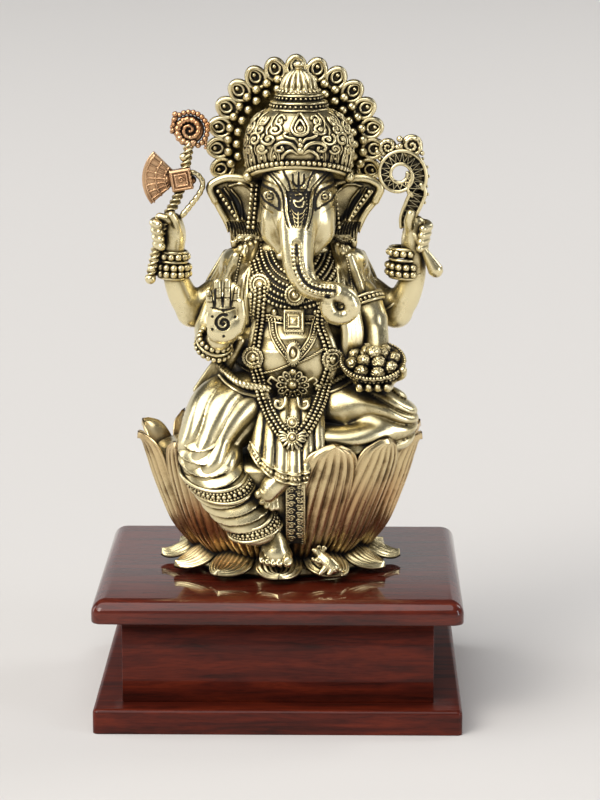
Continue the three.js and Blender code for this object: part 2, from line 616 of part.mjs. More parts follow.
function legs() {
  addPiece("thigh_lowered", BRASS, (g) => limb(
    [fig([-12, -8, 26]), fig([-36, -28, 28]), fig(KNEE_LOW)], [24, 21, 15], { grow: g, steps: 4, sides: 10 }));
  addPiece("shin_lowered", BRASS, (g) => limb(
    [fig(blend(KNEE_LOW, ANKLE_LOW, 0.02)), fig([-44, -55, -8]), fig([-26, -57, -30]), fig(ANKLE_LOW)],
    [15, 13.5, 11, 8], { grow: g, steps: 6, sides: 10 }));
  addPiece("foot_lowered", BRASS, (g) => {
    const heel = fig(blend(ANKLE_LOW, [-9, -46, -60], 0.5));
    const sole = limb([heel, fig([-8, -50, -62])], [8, 6.5], { grow: g, steps: 2, sides: 9 });
    const toes = [0, 1, 2, 3, 4].map((k) => ball(fig([-15.5 + 3.7 * k, -55.5, -64.5]), [2.4 + 0.2 * k, 4, 2.4], g, 7));
    return joined([sole, ...toes]);
  });
  addPiece("leg_folded", BRASS, (g) => joined([
    limb([fig([16, -8, 24]), fig([42, -18, 24]), fig(KNEE_SIDE)], [23, 20, 15], { grow: g, steps: 4, sides: 10 }),
    limb([fig(KNEE_SIDE), fig([34, -44, 12]), fig([8, -52, 4])], [14, 12, 8], { grow: g, steps: 4, sides: 9 }),
  ]));
  addPiece("foot_folded", BRASS, (g) => limb(
    [fig([0, -62, -2]), fig([-10, -65, -10]), fig([-15, -66, -17])], [6.5, 6, 4], { grow: g, steps: 3, sides: 10 }));
}

// ---------------------------------------------------------------- dress and ornaments
function dress() {
  addPiece("waist_rope", BRASS, (g) => ring(fig([0, -5, 42]), HIPS.r[0] - 1, HIPS.r[1] + 3, 4, 0.16, g));
  addPiece("apron", BRASS, (g) => sheet(
    (u, v) => {
      const x = (u - 0.5) * (APRON_WIDTH + 2 * g) * (1.05 - 0.2 * v);
      const h = APRON_HEM - g + (APRON_TOP - APRON_HEM + 2 * g) * v + 18 * (u - 0.5) * (u - 0.5);
      return fig([x - 1, -64 + 0.006 * x * x + 11 * v, h]);
    }, 3, () => [0, -1, 0], g));
  addPiece("chest_belt", BRASS, (g) => joined([
    ring(fig([0, -7, 79]), BELLY.r[0] + 1, BELLY.r[1] - 2, 3, 0, g),
    block(fig([-5, -42, 74]), fig([5, -36, 85]), g),
  ]));
  addPiece("necklace", BRASS, (g) => ring(fig([0, -8, 108]), 22, 20, 4.5, 0.5, g));
  addPiece("garland", BRASS, (g) => {
    const drop = GARLAND_DROP;
    const path = [[-27, -24, 92], [-37, -32, 66], [-30, -46, 44], [-12, -55, drop + 6], [0, -57, drop],
      [12, -55, drop + 6], [30, -46, 44], [37, -32, 66], [27, -24, 92]];
    return limb(path.map(fig), [3.6, 3.6], { grow: g, steps: 16, sides: 6 });
  });
  for (const side of [-1, 1]) {
    const path = [[side * 26, 2, 117], [side * 42, -2, 106], [side * 53, -3, 76], [side * 55, -4, 40]];
    addPiece(side < 0 ? "shawl_left" : "shawl_right", BRASS,
      (g) => limb(path.map(fig), [10, 14, 15, 12], { grow: g, steps: 6, sides: 8, flat: [1, 0.55], facing: [1, 0, 0] }));
  }
}

function mouse() {
  addPiece("mouse", BRASS, (g) => {
    const z = STATUE_Z;
    const head = ball([19.5, -49, z + 19.5], [4.6, 5, 4.2], g, 8);
    const body = ball([27, -50, z + 14], [8, 5.5, 6.5], g, 10);
    const tail = limb([[33, -51, z + 11], [38, -51, z + 9]], [1.8, 1.2], { grow: g, steps: 1, sides: 6 });
    return joined([head, body, tail]);
  });
}

pedestal();
lotusCore();
torso();
headPieces();
halo();
crown();
rearArms();
axe();
noose();
rearHands();
frontArms();
legs();
dress();
petals();
mouse();

export default part;
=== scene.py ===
"""Looks for the seated elephant-headed deity in antique brass on its wood pedestal.

Everything is drawn in millimetres with z measured from the underside of the brass, then stored in metres in the
row's frame. -Y faces the viewer.
"""

import math

import bpy
import numpy as np
import openvdb as vdb
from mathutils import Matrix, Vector


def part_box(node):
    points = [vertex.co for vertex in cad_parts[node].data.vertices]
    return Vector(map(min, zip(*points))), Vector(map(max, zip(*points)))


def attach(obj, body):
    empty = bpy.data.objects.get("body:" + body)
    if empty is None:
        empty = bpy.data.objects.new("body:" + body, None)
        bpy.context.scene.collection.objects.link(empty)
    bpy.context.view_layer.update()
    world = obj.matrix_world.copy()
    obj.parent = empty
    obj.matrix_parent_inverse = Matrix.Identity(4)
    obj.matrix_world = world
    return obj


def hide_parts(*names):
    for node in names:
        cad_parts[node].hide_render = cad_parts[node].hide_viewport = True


MM = 0.001


def make_camera():
    """The photograph's view: a long lens a little above the statue's middle."""
    data = bpy.data.cameras.new("camera")
    data.lens = 131.3
    data.sensor_width = 36
    data.sensor_fit = "AUTO"
    data.clip_end = 20
    cam = bpy.data.objects.new("camera", data)
    cam.location = (38.7 * MM, -1717.1 * MM, 533.2 * MM)
    cam.rotation_euler = (math.radians(90 - 11.629), 0, math.radians(0.899))
    bpy.context.scene.collection.objects.link(cam)
    bpy.context.scene.camera = cam


make_camera()
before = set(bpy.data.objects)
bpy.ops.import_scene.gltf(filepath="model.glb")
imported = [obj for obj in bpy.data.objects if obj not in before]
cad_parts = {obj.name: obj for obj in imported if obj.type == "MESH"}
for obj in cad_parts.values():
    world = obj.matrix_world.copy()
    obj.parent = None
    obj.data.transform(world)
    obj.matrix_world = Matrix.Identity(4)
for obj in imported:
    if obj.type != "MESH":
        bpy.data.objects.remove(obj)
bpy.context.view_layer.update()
Z0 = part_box("lotus_core")[0].z / MM

# ------------------------------------------------------------------ mesh kit


def link(ob):
    bpy.context.scene.collection.objects.link(ob)
    return ob


def mesh_object(name, points, faces, mat, lift=Z0, patina_and_painted_shade=None):
    """faces is a list of integer arrays, each n x 3 or n x 4, into points in mm; patina_and_painted_shade is extra
    patina and painted shade per point.
    """
    points = np.asarray(points, np.float32) * MM
    points[:, 2] += lift * MM
    faces = [np.asarray(f, np.int64) for f in faces if len(f)]
    mesh = bpy.data.meshes.new(name)
    loops = np.concatenate([f.ravel() for f in faces])
    sizes = np.concatenate([np.full(len(f), f.shape[1]) for f in faces])
    starts = np.concatenate([[0], np.cumsum(sizes)[:-1]])
    mesh.vertices.add(len(points))
    mesh.vertices.foreach_set("co", points.ravel())
    mesh.loops.add(len(loops))
    mesh.loops.foreach_set("vertex_index", loops.astype(np.int32))
    mesh.polygons.add(len(sizes))
    mesh.polygons.foreach_set("loop_start", starts.astype(np.int32))
    mesh.polygons.foreach_set("use_smooth", np.full(len(sizes), True))
    mesh.update(calc_edges=True)
    if patina_and_painted_shade is not None:
        mesh.attributes.new("patina_and_painted_shade", "FLOAT", "POINT").data.foreach_set("value", np.asarray(patina_and_painted_shade, np.float32))
    mesh.validate()
    mesh.materials.append(mat)
    return link(bpy.data.objects.new(name, mesh))


def outward(points, faces):
    """The faces turned so that the closed surface's volume is positive."""
    total = 0.0
    for f in faces:
        if len(f):
            a, b, c = points[f[:, 0]], points[f[:, 1]], points[f[:, 2]]
            total += np.einsum("ij,ij->i", a, np.cross(b, c)).sum()
            if f.shape[1] == 4:
                d = points[f[:, 3]]
                total += np.einsum("ij,ij->i", a, np.cross(c, d)).sum()
    return faces if total > 0 else [f[:, ::-1] for f in faces]


def grid_faces(rows, cols, wrap_cols=False):
    r, c = np.meshgrid(np.arange(rows - 1), np.arange(cols if wrap_cols else cols - 1), indexing="ij")
    n = (c + 1) % cols
    quad = np.stack([r * cols + c, r * cols + n, (r + 1) * cols + n, (r + 1) * cols + c], -1)
    return quad.reshape(-1, 4)


def join_meshes(parts):
    """parts: list of (points, faces list) -> one (points, faces list)."""
    points, tris, quads, base = [], [], [], 0
    for pts, faces in parts:
        points.append(np.asarray(pts, float))
        for f in faces:
            if len(f):
                (tris if f.shape[1] == 3 else quads).append(np.asarray(f) + base)
        base += len(pts)
    out = [np.concatenate(g) for g in (tris, quads) if g]
    return np.concatenate(points), out


def tube_mesh(path, radii, sides=16, shape=None):
    """Closed round-ended tube; path n x 3, radii n; shape(t, angle) multiplies the radius."""
    path = np.asarray(path, float)
    radii = np.asarray(radii, float)
    tangent = np.gradient(path, axis=0)
    tangent /= np.linalg.norm(tangent, axis=1)[:, None]
    ref = np.eye(3)[[1, 0, 2][np.abs(tangent[:, [1, 0, 2]]).max(0).argmin()]]
    side = np.cross(tangent, ref)
    side /= np.linalg.norm(side, axis=1)[:, None]
    up = np.cross(side, tangent)
    angle = np.linspace(0, 2 * np.pi, sides, endpoint=False)
    t = np.linspace(0, 1, len(path))
    factor = np.ones((len(path), sides)) if shape is None else shape(t[:, None], angle[None, :])
    ring = (np.cos(angle)[None, :, None] * side[:, None, :] + np.sin(angle)[None, :, None] * up[:, None, :])
    body = path[:, None, :] + ring * (radii[:, None] * factor)[:, :, None]
    caps = []
    for end, sign in ((0, -1), (-1, 1)):
        for a in (0.45, 0.8):
            centre = path[end] + sign * tangent[end] * radii[end] * math.sin(a * math.pi / 2)
            caps.append(centre + ring[end] * radii[end] * math.cos(a * math.pi / 2) * factor[end][:, None])
        caps.append((path[end] + sign * tangent[end] * radii[end])[None, :])
    rows = [caps[1], caps[0], *body, caps[3], caps[4]]
    points = np.concatenate([*rows, caps[2], caps[5]])
    n = len(rows) * sides
    faces = [grid_faces(len(rows), sides, wrap_cols=True)]
    k = np.arange(sides)
    first = np.stack([np.full(sides, n), (k + 1) % sides, k], -1)
    base = n - sides
    last = np.stack([np.full(sides, n + 1), base + k, base + (k + 1) % sides], -1)
    return points, outward(points, [np.concatenate([first, last]), faces[0]])


def spline(points, n):
    """Catmull-Rom through points, n samples evenly spaced along it; extra columns are carried."""
    p = np.asarray(points, float)
    if len(p) == 2:
        t = np.linspace(0, 1, n)[:, None]
        return p[0] * (1 - t) + p[1] * t
    ext = np.vstack([2 * p[0] - p[1], p, 2 * p[-1] - p[-2]])
    fine = []
    for i in range(len(p) - 1):
        t = np.linspace(0, 1, 24, endpoint=False)[:, None]
        a, b, c, d = ext[i:i + 4]
        fine.append(0.5 * (2 * b + (c - a) * t + (2 * a - 5 * b + 4 * c - d) * t ** 2 +
                           (3 * b - a - 3 * c + d) * t ** 3))
    fine = np.vstack([*fine, p[-1:]])
    step = np.linalg.norm(np.diff(fine[:, :3], axis=0), axis=1)
    dist = np.concatenate([[0], np.cumsum(step)])
    want = np.linspace(0, dist[-1], n)
    return np.stack([np.interp(want, dist, fine[:, k]) for k in range(p.shape[1])], 1)


def lathe_mesh(profile, centre, around=96, squash=1.0, shape=None):
    """profile n x 2 of (radius, z), closed on the axis at both ends or on itself; shape(i, angle) scales the radius."""
    profile = np.asarray(profile, float)
    angle = np.linspace(0, 2 * np.pi, around, endpoint=False)
    r = profile[:, :1] * (np.ones((len(profile), around)) if shape is None else shape(profile, angle))
    pts = np.stack([centre[0] + r * np.cos(angle), centre[1] + squash * r * np.sin(angle),
                    centre[2] + np.repeat(profile[:, 1:], around, 1)], -1).reshape(-1, 3)
    faces = grid_faces(len(profile), around, wrap_cols=True)
    return pts, outward(pts, [faces])


# ------------------------------------------------------------------ sculpting in a distance field


def smooth_min(a, b, k):
    h = np.clip(0.5 + 0.5 * (b - a) / k, 0, 1)
    return b * (1 - h) + a * h - k * h * (1 - h)


class Clay:
    """A block of space holding the distance to a surface, in mm; shapes are pressed together and carved in it."""

    def __init__(self, low, high, voxel):
        self.low = np.asarray(low, float)
        self.h = voxel
        count = np.ceil((np.asarray(high, float) - self.low) / voxel).astype(int) + 1
        self.axes = [(self.low[i] + voxel * np.arange(count[i])).astype(np.float32) for i in range(3)]
        self.d = np.full(count, 30.0, np.float32)

    def window(self, low, high):
        out = []
        for i in range(3):
            a = int(max(0, math.floor((low[i] - self.low[i]) / self.h)))
            b = int(min(self.d.shape[i], math.ceil((high[i] - self.low[i]) / self.h) + 1))
            out.append(slice(a, max(a, b)))
        return tuple(out)

    def coords(self, win):
        return (self.axes[0][win[0]][:, None, None], self.axes[1][win[1]][None, :, None],
                self.axes[2][win[2]][None, None, :])

    def merge(self, win, value, blend, cut):
        old = self.d[win]
        if old.size:
            self.d[win] = -smooth_min(-old, value, blend) if cut else smooth_min(old, value, blend)

    def ball(self, at, r, blend=1.0, cut=False, turn=0.0):
        """Ellipsoid of radii r; turn about Y (in the picture plane), in degrees."""
        at, r = np.asarray(at, float), np.broadcast_to(np.asarray(r, float), 3)
        pad = (r.max() if turn else r) + blend + 2 * self.h
        win = self.window(at - pad, at + pad)
        x, y, z = self.coords(win)
        x, y, z = x - at[0], y - at[1], z - at[2]
        if turn:
            c, s = math.cos(math.radians(turn)), math.sin(math.radians(turn))
            x, z = c * x + s * z, -s * x + c * z
        k0 = np.sqrt((x / r[0]) ** 2 + (y / r[1]) ** 2 + (z / r[2]) ** 2) + 1e-6
        k1 = np.sqrt((x / r[0] ** 2) ** 2 + (y / r[1] ** 2) ** 2 + (z / r[2] ** 2) ** 2) + 1e-6
        self.merge(win, k0 * (k0 - 1) / k1, blend, cut)

    def limb(self, points, blend=1.0, cut=False, detail=None):
        """Tube through points of (x, y, z, r); detail(t, x, y, z) is added to the distance."""
        p = np.asarray(points, float)
        length = np.linalg.norm(np.diff(p[:, :3], axis=0), axis=1).sum()
        q = spline(p, max(2, int(length / 1.6) + 2)).astype(np.float32)
        reach = blend + 2 * self.h + 1.5
        low = (q[:, :3] - q[:, 3:]).min(0) - reach
        high = (q[:, :3] + q[:, 3:]).max(0) + reach
        win = self.window(low, high)
        x, y, z = self.coords(win)
        best = np.full(self.d[win].shape, 30.0, np.float32)
        along = np.zeros(best.shape, np.float32) if detail else None
        if not best.size:
            return
        start = np.array([s.start for s in win])
        for i in range(len(q) - 1):
            a, b = q[i], q[i + 1]
            lo = np.minimum(a[:3] - a[3], b[:3] - b[3]) - reach
            hi = np.maximum(a[:3] + a[3], b[:3] + b[3]) + reach
            w = self.window(lo, hi)
            s = tuple(slice(w[k].start - start[k], w[k].stop - start[k]) for k in range(3))
            if best[s].size == 0:
                continue
            xx, yy, zz = self.coords(w)
            ab = b[:3] - a[:3]
            f = float(ab @ ab) + 1e-9
            t = np.clip(((xx - a[0]) * ab[0] + (yy - a[1]) * ab[1] + (zz - a[2]) * ab[2]) / f, 0, 1)
            px, py, pz = xx - a[0] - ab[0] * t, yy - a[1] - ab[1] * t, zz - a[2] - ab[2] * t
            v = np.sqrt(px * px + py * py + pz * pz) - (a[3] + (b[3] - a[3]) * t)
            if detail:
                hit = v < best[s]
                along[s] = np.where(hit, (i + t) / (len(q) - 1), along[s])
            best[s] = np.minimum(best[s], v)
        if detail:
            best += detail(along, x, y, z)
        self.merge(win, best, blend, cut)

    def relief(self, height, y_range=(-999, 999)):
        """Raises the surface by height(x, z) mm where y is in range, fading over 1.5 mm."""
        y = self.axes[1]
        fade = np.clip((y - y_range[0]) / 1.5, 0, 1) * np.clip((y_range[1] - y) / 1.5, 0, 1)
        self.d -= height[:, None, :] * fade[None, :, None].astype(np.float32)

    def sheet(self):
        """An empty drawing on the block's x, z grid, to be passed to relief."""
        return Drawing(self.axes[0], self.axes[2])

    def mesh(self):
        grid = vdb.FloatGrid(3.0)
        grid.copyFromArray(np.clip(self.d, -3, 3))
        points, tris, quads = grid.convertToPolygons(0.0, 0.0)
        points = points * self.h + self.low
        return points, outward(points, [f.astype(np.int64) for f in (tris, quads) if len(f)])


class Drawing:
    """Heights in mm over the x, z plane, for ornament that faces the viewer."""

    def __init__(self, xs, zs):
        self.x, self.z = xs, zs
        self.a = np.zeros((len(xs), len(zs)), np.float32)

    def near(self, low, high):
        i0, i1 = np.searchsorted(self.x, [low[0], high[0]])
        k0, k1 = np.searchsorted(self.z, [low[1], high[1]])
        return slice(i0, i1), slice(k0, k1)

    def stroke(self, points, width, height, samples=None):
        """Rounded ridge (or groove, for negative height) of half-width width along points."""
        p = np.asarray(points, float)
        length = np.linalg.norm(np.diff(p, axis=0), axis=1).sum()
        p = spline(p, samples or max(3, int(length / 0.6)))
        win = self.near(p.min(0) - width - 1, p.max(0) + width + 1)
        x, z = self.x[win[0]][:, None], self.z[win[1]][None, :]
        best = np.full((x.shape[0], z.shape[1]), 9.0, np.float32)
        for a, b in zip(p[:-1], p[1:]):
            ab = b - a
            t = np.clip(((x - a[0]) * ab[0] + (z - a[1]) * ab[1]) / (ab @ ab + 1e-9), 0, 1)
            best = np.minimum(best, np.hypot(x - a[0] - ab[0] * t, z - a[1] - ab[1] * t))
        self.lay(win, np.sqrt(np.clip(1 - (best / width) ** 2, 0, 1)), height)

    def dot(self, at, r, height):
        win = self.near(np.array(at) - r, np.array(at) + r)
        x, z = self.x[win[0]][:, None], self.z[win[1]][None, :]
        far = np.hypot(x - at[0], z - at[1]) / r
        self.lay(win, np.sqrt(np.clip(1 - far ** 2, 0, 1)), height)

    def dots(self, points, spacing, r, height):
        p = np.asarray(points, float)
        length = np.linalg.norm(np.diff(spline(p, 60), axis=0), axis=1).sum()
        for at in spline(p, max(2, int(length / spacing) + 1)):
            self.dot(at, r, height)

    def ring(self, at, radius, width, height):
        a = np.linspace(0, 2 * np.pi, 25)
        self.stroke(np.stack([at[0] + radius * np.cos(a), at[1] + radius * np.sin(a)], 1), width, height, 40)

    def spiral(self, at, radius, turns, width, height, start=0.0, hand=1):
        a = np.linspace(0, 1, 40)
        angle = start + hand * a * turns * 2 * np.pi
        r = radius * (1 - a) + 0.3 * a
        self.stroke(np.stack([at[0] + r * np.cos(angle), at[1] + r * np.sin(angle)], 1), width, height, 60)

    def lay(self, win, shape, height):
        old = self.a[win]
        if height > 0:
            self.a[win] = np.maximum(old, shape * height)
        else:
            self.a[win] = np.minimum(old, shape * height)


# ------------------------------------------------------------------ materials


def srgb(hex_colour):
    """Linear RGBA of a #rrggbb colour."""
    v = [int(hex_colour[i:i + 2], 16) / 255 for i in (1, 3, 5)]
    return (*[c / 12.92 if c <= 0.04045 else ((c + 0.055) / 1.055) ** 2.4 for c in v], 1.0)


def node(tree, kind, inputs=None, **settings):
    """Adds a shader node; inputs maps a socket name or number to a value or to another node's output."""
    n = tree.nodes.new(kind)
    for key, value in settings.items():
        setattr(n, key, value)
    for key, value in (inputs or {}).items():
        socket = n.inputs[key]
        if isinstance(value, bpy.types.NodeSocket):
            tree.links.new(value, socket)
        else:
            socket.default_value = value
    return n


def ramp(tree, fac, stops):
    n = node(tree, "ShaderNodeValToRGB", {"Fac": fac})
    bar = n.color_ramp
    while len(bar.elements) < len(stops):
        bar.elements.new(0.5)
    for e, (at, colour) in zip(bar.elements, stops):
        e.position = at
        e.color = colour if len(colour) == 4 else (*colour, 1)
    return n.outputs["Color"]


def grey(v):
    return (v, v, v, 1.0)


def brass(name, bright, mid, dark, reach=3.0, bump=0.02, worn=1.0, copper=None):
    """Cast brass, darkened chemically and rubbed back: recesses stay near black and high points are bright.
    reach is how far a wall has to be, in mm, for the patina to stay; at three times that reach, painted shade darkens
    the metal where parts meet; copper tints it by patches."""
    mat = bpy.data.materials.new(name)
    mat.use_nodes = True
    tree = mat.node_tree
    tree.nodes.clear()
    coords = node(tree, "ShaderNodeTexCoord").outputs["Object"]
    # the depth of a recess, from the share of the sky that it sees: the near test keeps the patina in hollows, the far
    # test paints shade where parts meet
    hollow = node(tree, "ShaderNodeAmbientOcclusion", {"Distance": reach * MM}, samples=6, only_local=False)
    wide = node(tree, "ShaderNodeAmbientOcclusion", {"Distance": 3 * reach * MM}, samples=4, only_local=False)
    mottle = node(tree, "ShaderNodeTexNoise", {"Vector": coords, "Scale": 260.0, "Detail": 3.0})
    blotch = node(tree, "ShaderNodeTexNoise", {"Vector": coords, "Scale": 55.0, "Detail": 4.0, "Roughness": 0.6})
    # patina in cut lines and painted shade, drawn per point on some pieces, darken the colour further
    painted = node(tree, "ShaderNodeAttribute", attribute_name="patina_and_painted_shade")
    both = node(tree, "ShaderNodeMath", {0: hollow.outputs["AO"], 1: wide.outputs["AO"]}, operation="MULTIPLY")
    shade = node(tree, "ShaderNodeMath", {0: painted.outputs["Fac"], 1: -0.8, 2: both.outputs[0]},
                 operation="MULTIPLY_ADD")
    nudged = node(tree, "ShaderNodeMath", {0: mottle.outputs["Fac"], 1: 0.16, 2: shade.outputs[0]},
                  operation="MULTIPLY_ADD")
    smudge = ramp(tree, blotch.outputs["Fac"], [(0.36, grey(0.26)), (0.56, grey(0.0))])
    rubbed = node(tree, "ShaderNodeMath", {0: nudged.outputs[0], 1: smudge}, operation="SUBTRACT")
    keep = node(tree, "ShaderNodeMath", {0: rubbed.outputs[0], 1: 0.08 * worn}, operation="SUBTRACT")
    colour = ramp(tree, keep.outputs[0], [(0.37, srgb(dark)), (0.62, srgb(mid)), (0.92, srgb(bright))])
    if copper:
        cloud = node(tree, "ShaderNodeTexNoise", {"Vector": coords, "Scale": 17.0, "Detail": 1.0})
        patch = ramp(tree, cloud.outputs["Fac"], [(0.40, grey(0.15)), (0.66, grey(1))])
        height = node(tree, "ShaderNodeSeparateXYZ", {0: coords}).outputs["Z"]
        place = node(tree, "ShaderNodeMath", {0: height, 1: 5.0}, operation="MULTIPLY")
        low = ramp(tree, place.outputs[0], [(0.58, grey(0.9)), (0.74, grey(0.22)), (0.90, grey(0.22)), (0.98, grey(1))])
        tint = node(tree, "ShaderNodeMath", {0: patch, 1: low}, operation="MULTIPLY")
        mix = node(tree, "ShaderNodeMix", {0: tint.outputs[0], 6: colour, 7: srgb(copper)}, data_type="RGBA",
                   blend_type="MULTIPLY")
        colour = mix.outputs[2]
    metal = ramp(tree, keep.outputs[0], [(0.22, grey(0.25)), (0.55, grey(1.0))])
    rough = ramp(tree, keep.outputs[0], [(0.25, grey(0.60)), (0.85, grey(0.20))])
    rub = node(tree, "ShaderNodeMath", {0: blotch.outputs["Fac"], 1: 0.14, 2: rough}, operation="MULTIPLY_ADD")
    bumps = node(tree, "ShaderNodeBump", {"Height": mottle.outputs["Fac"], "Strength": 0.35,
                                          "Distance": bump * MM})
    shader = node(tree, "ShaderNodeBsdfPrincipled", {
        "Base Color": colour, "Metallic": metal, "Roughness": rub.outputs[0], "Normal": bumps.outputs["Normal"]})
    node(tree, "ShaderNodeOutputMaterial", {"Surface": shader.outputs["BSDF"]})
    return mat


def wood(name, along="X", gloss=0.35, haze=0.07):
    """Lacquered red-brown hardwood: long grain streaks and pores along one axis under a clear gloss coat."""
    mat = bpy.data.materials.new(name)
    mat.use_nodes = True
    tree = mat.node_tree
    tree.nodes.clear()
    coords = node(tree, "ShaderNodeTexCoord").outputs["Object"]
    stretch = {"X": (6, 60, 60), "Y": (60, 6, 60)}[along]
    streaks = node(tree, "ShaderNodeMapping", {"Vector": coords, "Scale": stretch})
    grain = node(tree, "ShaderNodeTexNoise", {"Vector": streaks.outputs[0], "Scale": 2.2, "Detail": 6.0,
                                              "Roughness": 0.62, "Distortion": 0.6})
    fine_map = node(tree, "ShaderNodeMapping", {"Vector": coords, "Scale": [6 * s for s in stretch]})
    pores = node(tree, "ShaderNodeTexNoise", {"Vector": fine_map.outputs[0], "Scale": 3.0, "Detail": 3.0})
    colour = ramp(tree, grain.outputs["Fac"], [(0.28, srgb("#240a05")), (0.46, srgb("#48150a")),
                                               (0.60, srgb("#5c1e0d")), (0.74, srgb("#380e06"))])
    dark = ramp(tree, pores.outputs["Fac"], [(0.36, grey(0.62)), (0.52, grey(1.0))])
    mix = node(tree, "ShaderNodeMix", {0: 0.7, 6: colour, 7: dark}, data_type="RGBA", blend_type="MULTIPLY")
    shader = node(tree, "ShaderNodeBsdfPrincipled", {
        "Base Color": mix.outputs[2], "Roughness": 0.5, "Specular IOR Level": 0.1, "Coat Weight": gloss,
        "Coat Roughness": haze, "Coat IOR": 1.45})
    node(tree, "ShaderNodeOutputMaterial", {"Surface": shader.outputs["BSDF"]})
    return mat


POLISHED = brass("antique_brass_rubbed_bright", "#f0e2b4", "#8e7a48", "#100c07", reach=2.8, worn=-0.7)
CARVED = brass("antique_brass_carved_dark_recess", "#eadbab", "#7c6a40", "#0d0a06", reach=3.2, worn=-1.1)
PETAL = brass("antique_brass_petal_copper_tint", "#e6d3a2", "#8b7046", "#140d07", reach=2.8, worn=0.1, copper="#e0a888")
BLUSH = brass("antique_brass_axe_copper_blush", "#e6c8a0", "#85603f", "#120b06", reach=2.8, worn=0.2, copper="#ecbb97")
SKIN = brass("antique_brass_smooth_skin", "#f2e5b8", "#95814d", "#120d07", reach=3.8, bump=0.008, worn=0.5)
WOOD_X = wood("mahogany_lacquer_grain_x")
WOOD_TOP = wood("mahogany_lacquer_polished_top", gloss=0.85, haze=0.03)
WOOD_Y = wood("mahogany_lacquer_grain_y", "Y")

# ------------------------------------------------------------------ handing pieces to the frame


def hand_over(ob, nodes=(), body="statue"):
    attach(ob, body)
    if nodes:
        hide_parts(*nodes)
    return ob


def from_clay(name, clay, mat, nodes=(), patina_and_painted_shade=None, before=-15):
    """patina_and_painted_shade is a Drawing of extra patina and painted shade, 0 to 1, for the surface nearer to the
    viewer than y = before.
    """
    points, faces = clay.mesh()
    dark = None
    if patina_and_painted_shade is not None:
        i = np.clip(np.round((points[:, 0] - clay.low[0]) / clay.h).astype(int), 0, patina_and_painted_shade.a.shape[0] - 1)
        k = np.clip(np.round((points[:, 2] - clay.low[2]) / clay.h).astype(int), 0, patina_and_painted_shade.a.shape[1] - 1)
        dark = np.clip(patina_and_painted_shade.a[i, k], 0, 1) * np.clip((before - points[:, 1]) / 1.5, 0, 1)
    return hand_over(mesh_object(name, points, faces, mat, patina_and_painted_shade=dark), nodes)


# ------------------------------------------------------------------ repeated shapes on lines


def strand_tree():
    """Puts a shape at even steps along every edge chain, X along the line and Z towards Facing."""
    tree = bpy.data.node_groups.new("shapes_along_lines", "GeometryNodeTree")
    face = tree.interface
    face.new_socket("Lines", in_out="INPUT", socket_type="NodeSocketGeometry")
    for title, kind in (("Shape", "NodeSocketObject"), ("Spacing", "NodeSocketFloat"), ("Size", "NodeSocketFloat"),
                        ("Facing", "NodeSocketVector"), ("Material", "NodeSocketMaterial")):
        face.new_socket(title, in_out="INPUT", socket_type=kind)
    face.new_socket("Shapes", in_out="OUTPUT", socket_type="NodeSocketGeometry")
    start = tree.nodes.new("NodeGroupInput").outputs
    curve = node(tree, "GeometryNodeMeshToCurve", {"Mesh": start["Lines"]})
    points = node(tree, "GeometryNodeCurveToPoints", {"Curve": curve.outputs[0], "Length": start["Spacing"]},
                  mode="LENGTH")
    along = node(tree, "FunctionNodeAlignRotationToVector", {"Vector": points.outputs["Tangent"]}, axis="X")
    turned = node(tree, "FunctionNodeAlignRotationToVector", {"Rotation": along.outputs[0],
                                                             "Vector": start["Facing"]}, axis="Z", pivot_axis="X")
    shape = node(tree, "GeometryNodeObjectInfo", {"Object": start["Shape"], "As Instance": True})
    placed = node(tree, "GeometryNodeInstanceOnPoints", {
        "Points": points.outputs["Points"], "Instance": shape.outputs["Geometry"], "Rotation": turned.outputs[0],
        "Scale": start["Size"]})
    real = node(tree, "GeometryNodeRealizeInstances", {"Geometry": placed.outputs[0]})
    coated = node(tree, "GeometryNodeSetMaterial", {"Geometry": real.outputs[0], "Material": start["Material"]})
    end = tree.nodes.new("NodeGroupOutput")
    tree.links.new(coated.outputs[0], end.inputs[0])
    return tree


STRAND = strand_tree()
SOCKETS = {s.name: s.identifier for s in STRAND.interface.items_tree if s.in_out == "INPUT"}


def pattern_mesh(name, points, faces):
    """A shape for repeating, unit size; it is not shown itself."""
    mesh = bpy.data.meshes.new(name)
    mesh.from_pydata([tuple(p) for p in points], [], [tuple(int(i) for i in f) for group in faces for f in group])
    for p in mesh.polygons:
        p.use_smooth = True
    return bpy.data.objects.new(name, mesh)


def unit_ball(rows=6, around=8):
    profile = [(math.sin(a), -math.cos(a)) for a in np.linspace(0, math.pi, rows + 1)]
    inner = [(r * math.cos(t), r * math.sin(t), z) for r, z in profile[1:-1]
             for t in np.linspace(0, 2 * math.pi, around, endpoint=False)]
    pts = [*inner, (0, 0, -1), (0, 0, 1)]
    n = len(inner)
    k = np.arange(around)
    caps = np.concatenate([np.stack([np.full(around, n), (k + 1) % around, k], -1),
                           np.stack([np.full(around, n + 1), n - around + k, n - around + (k + 1) % around], -1)])
    return pts, [caps, grid_faces(rows - 1, around, wrap_cols=True)]


BEAD = pattern_mesh("bead_pattern", *unit_ball(5, 7))
BIG_BEAD = pattern_mesh("big_bead_pattern", *unit_ball(6, 10))
BALL = pattern_mesh("ball_pattern", *unit_ball(9, 14))


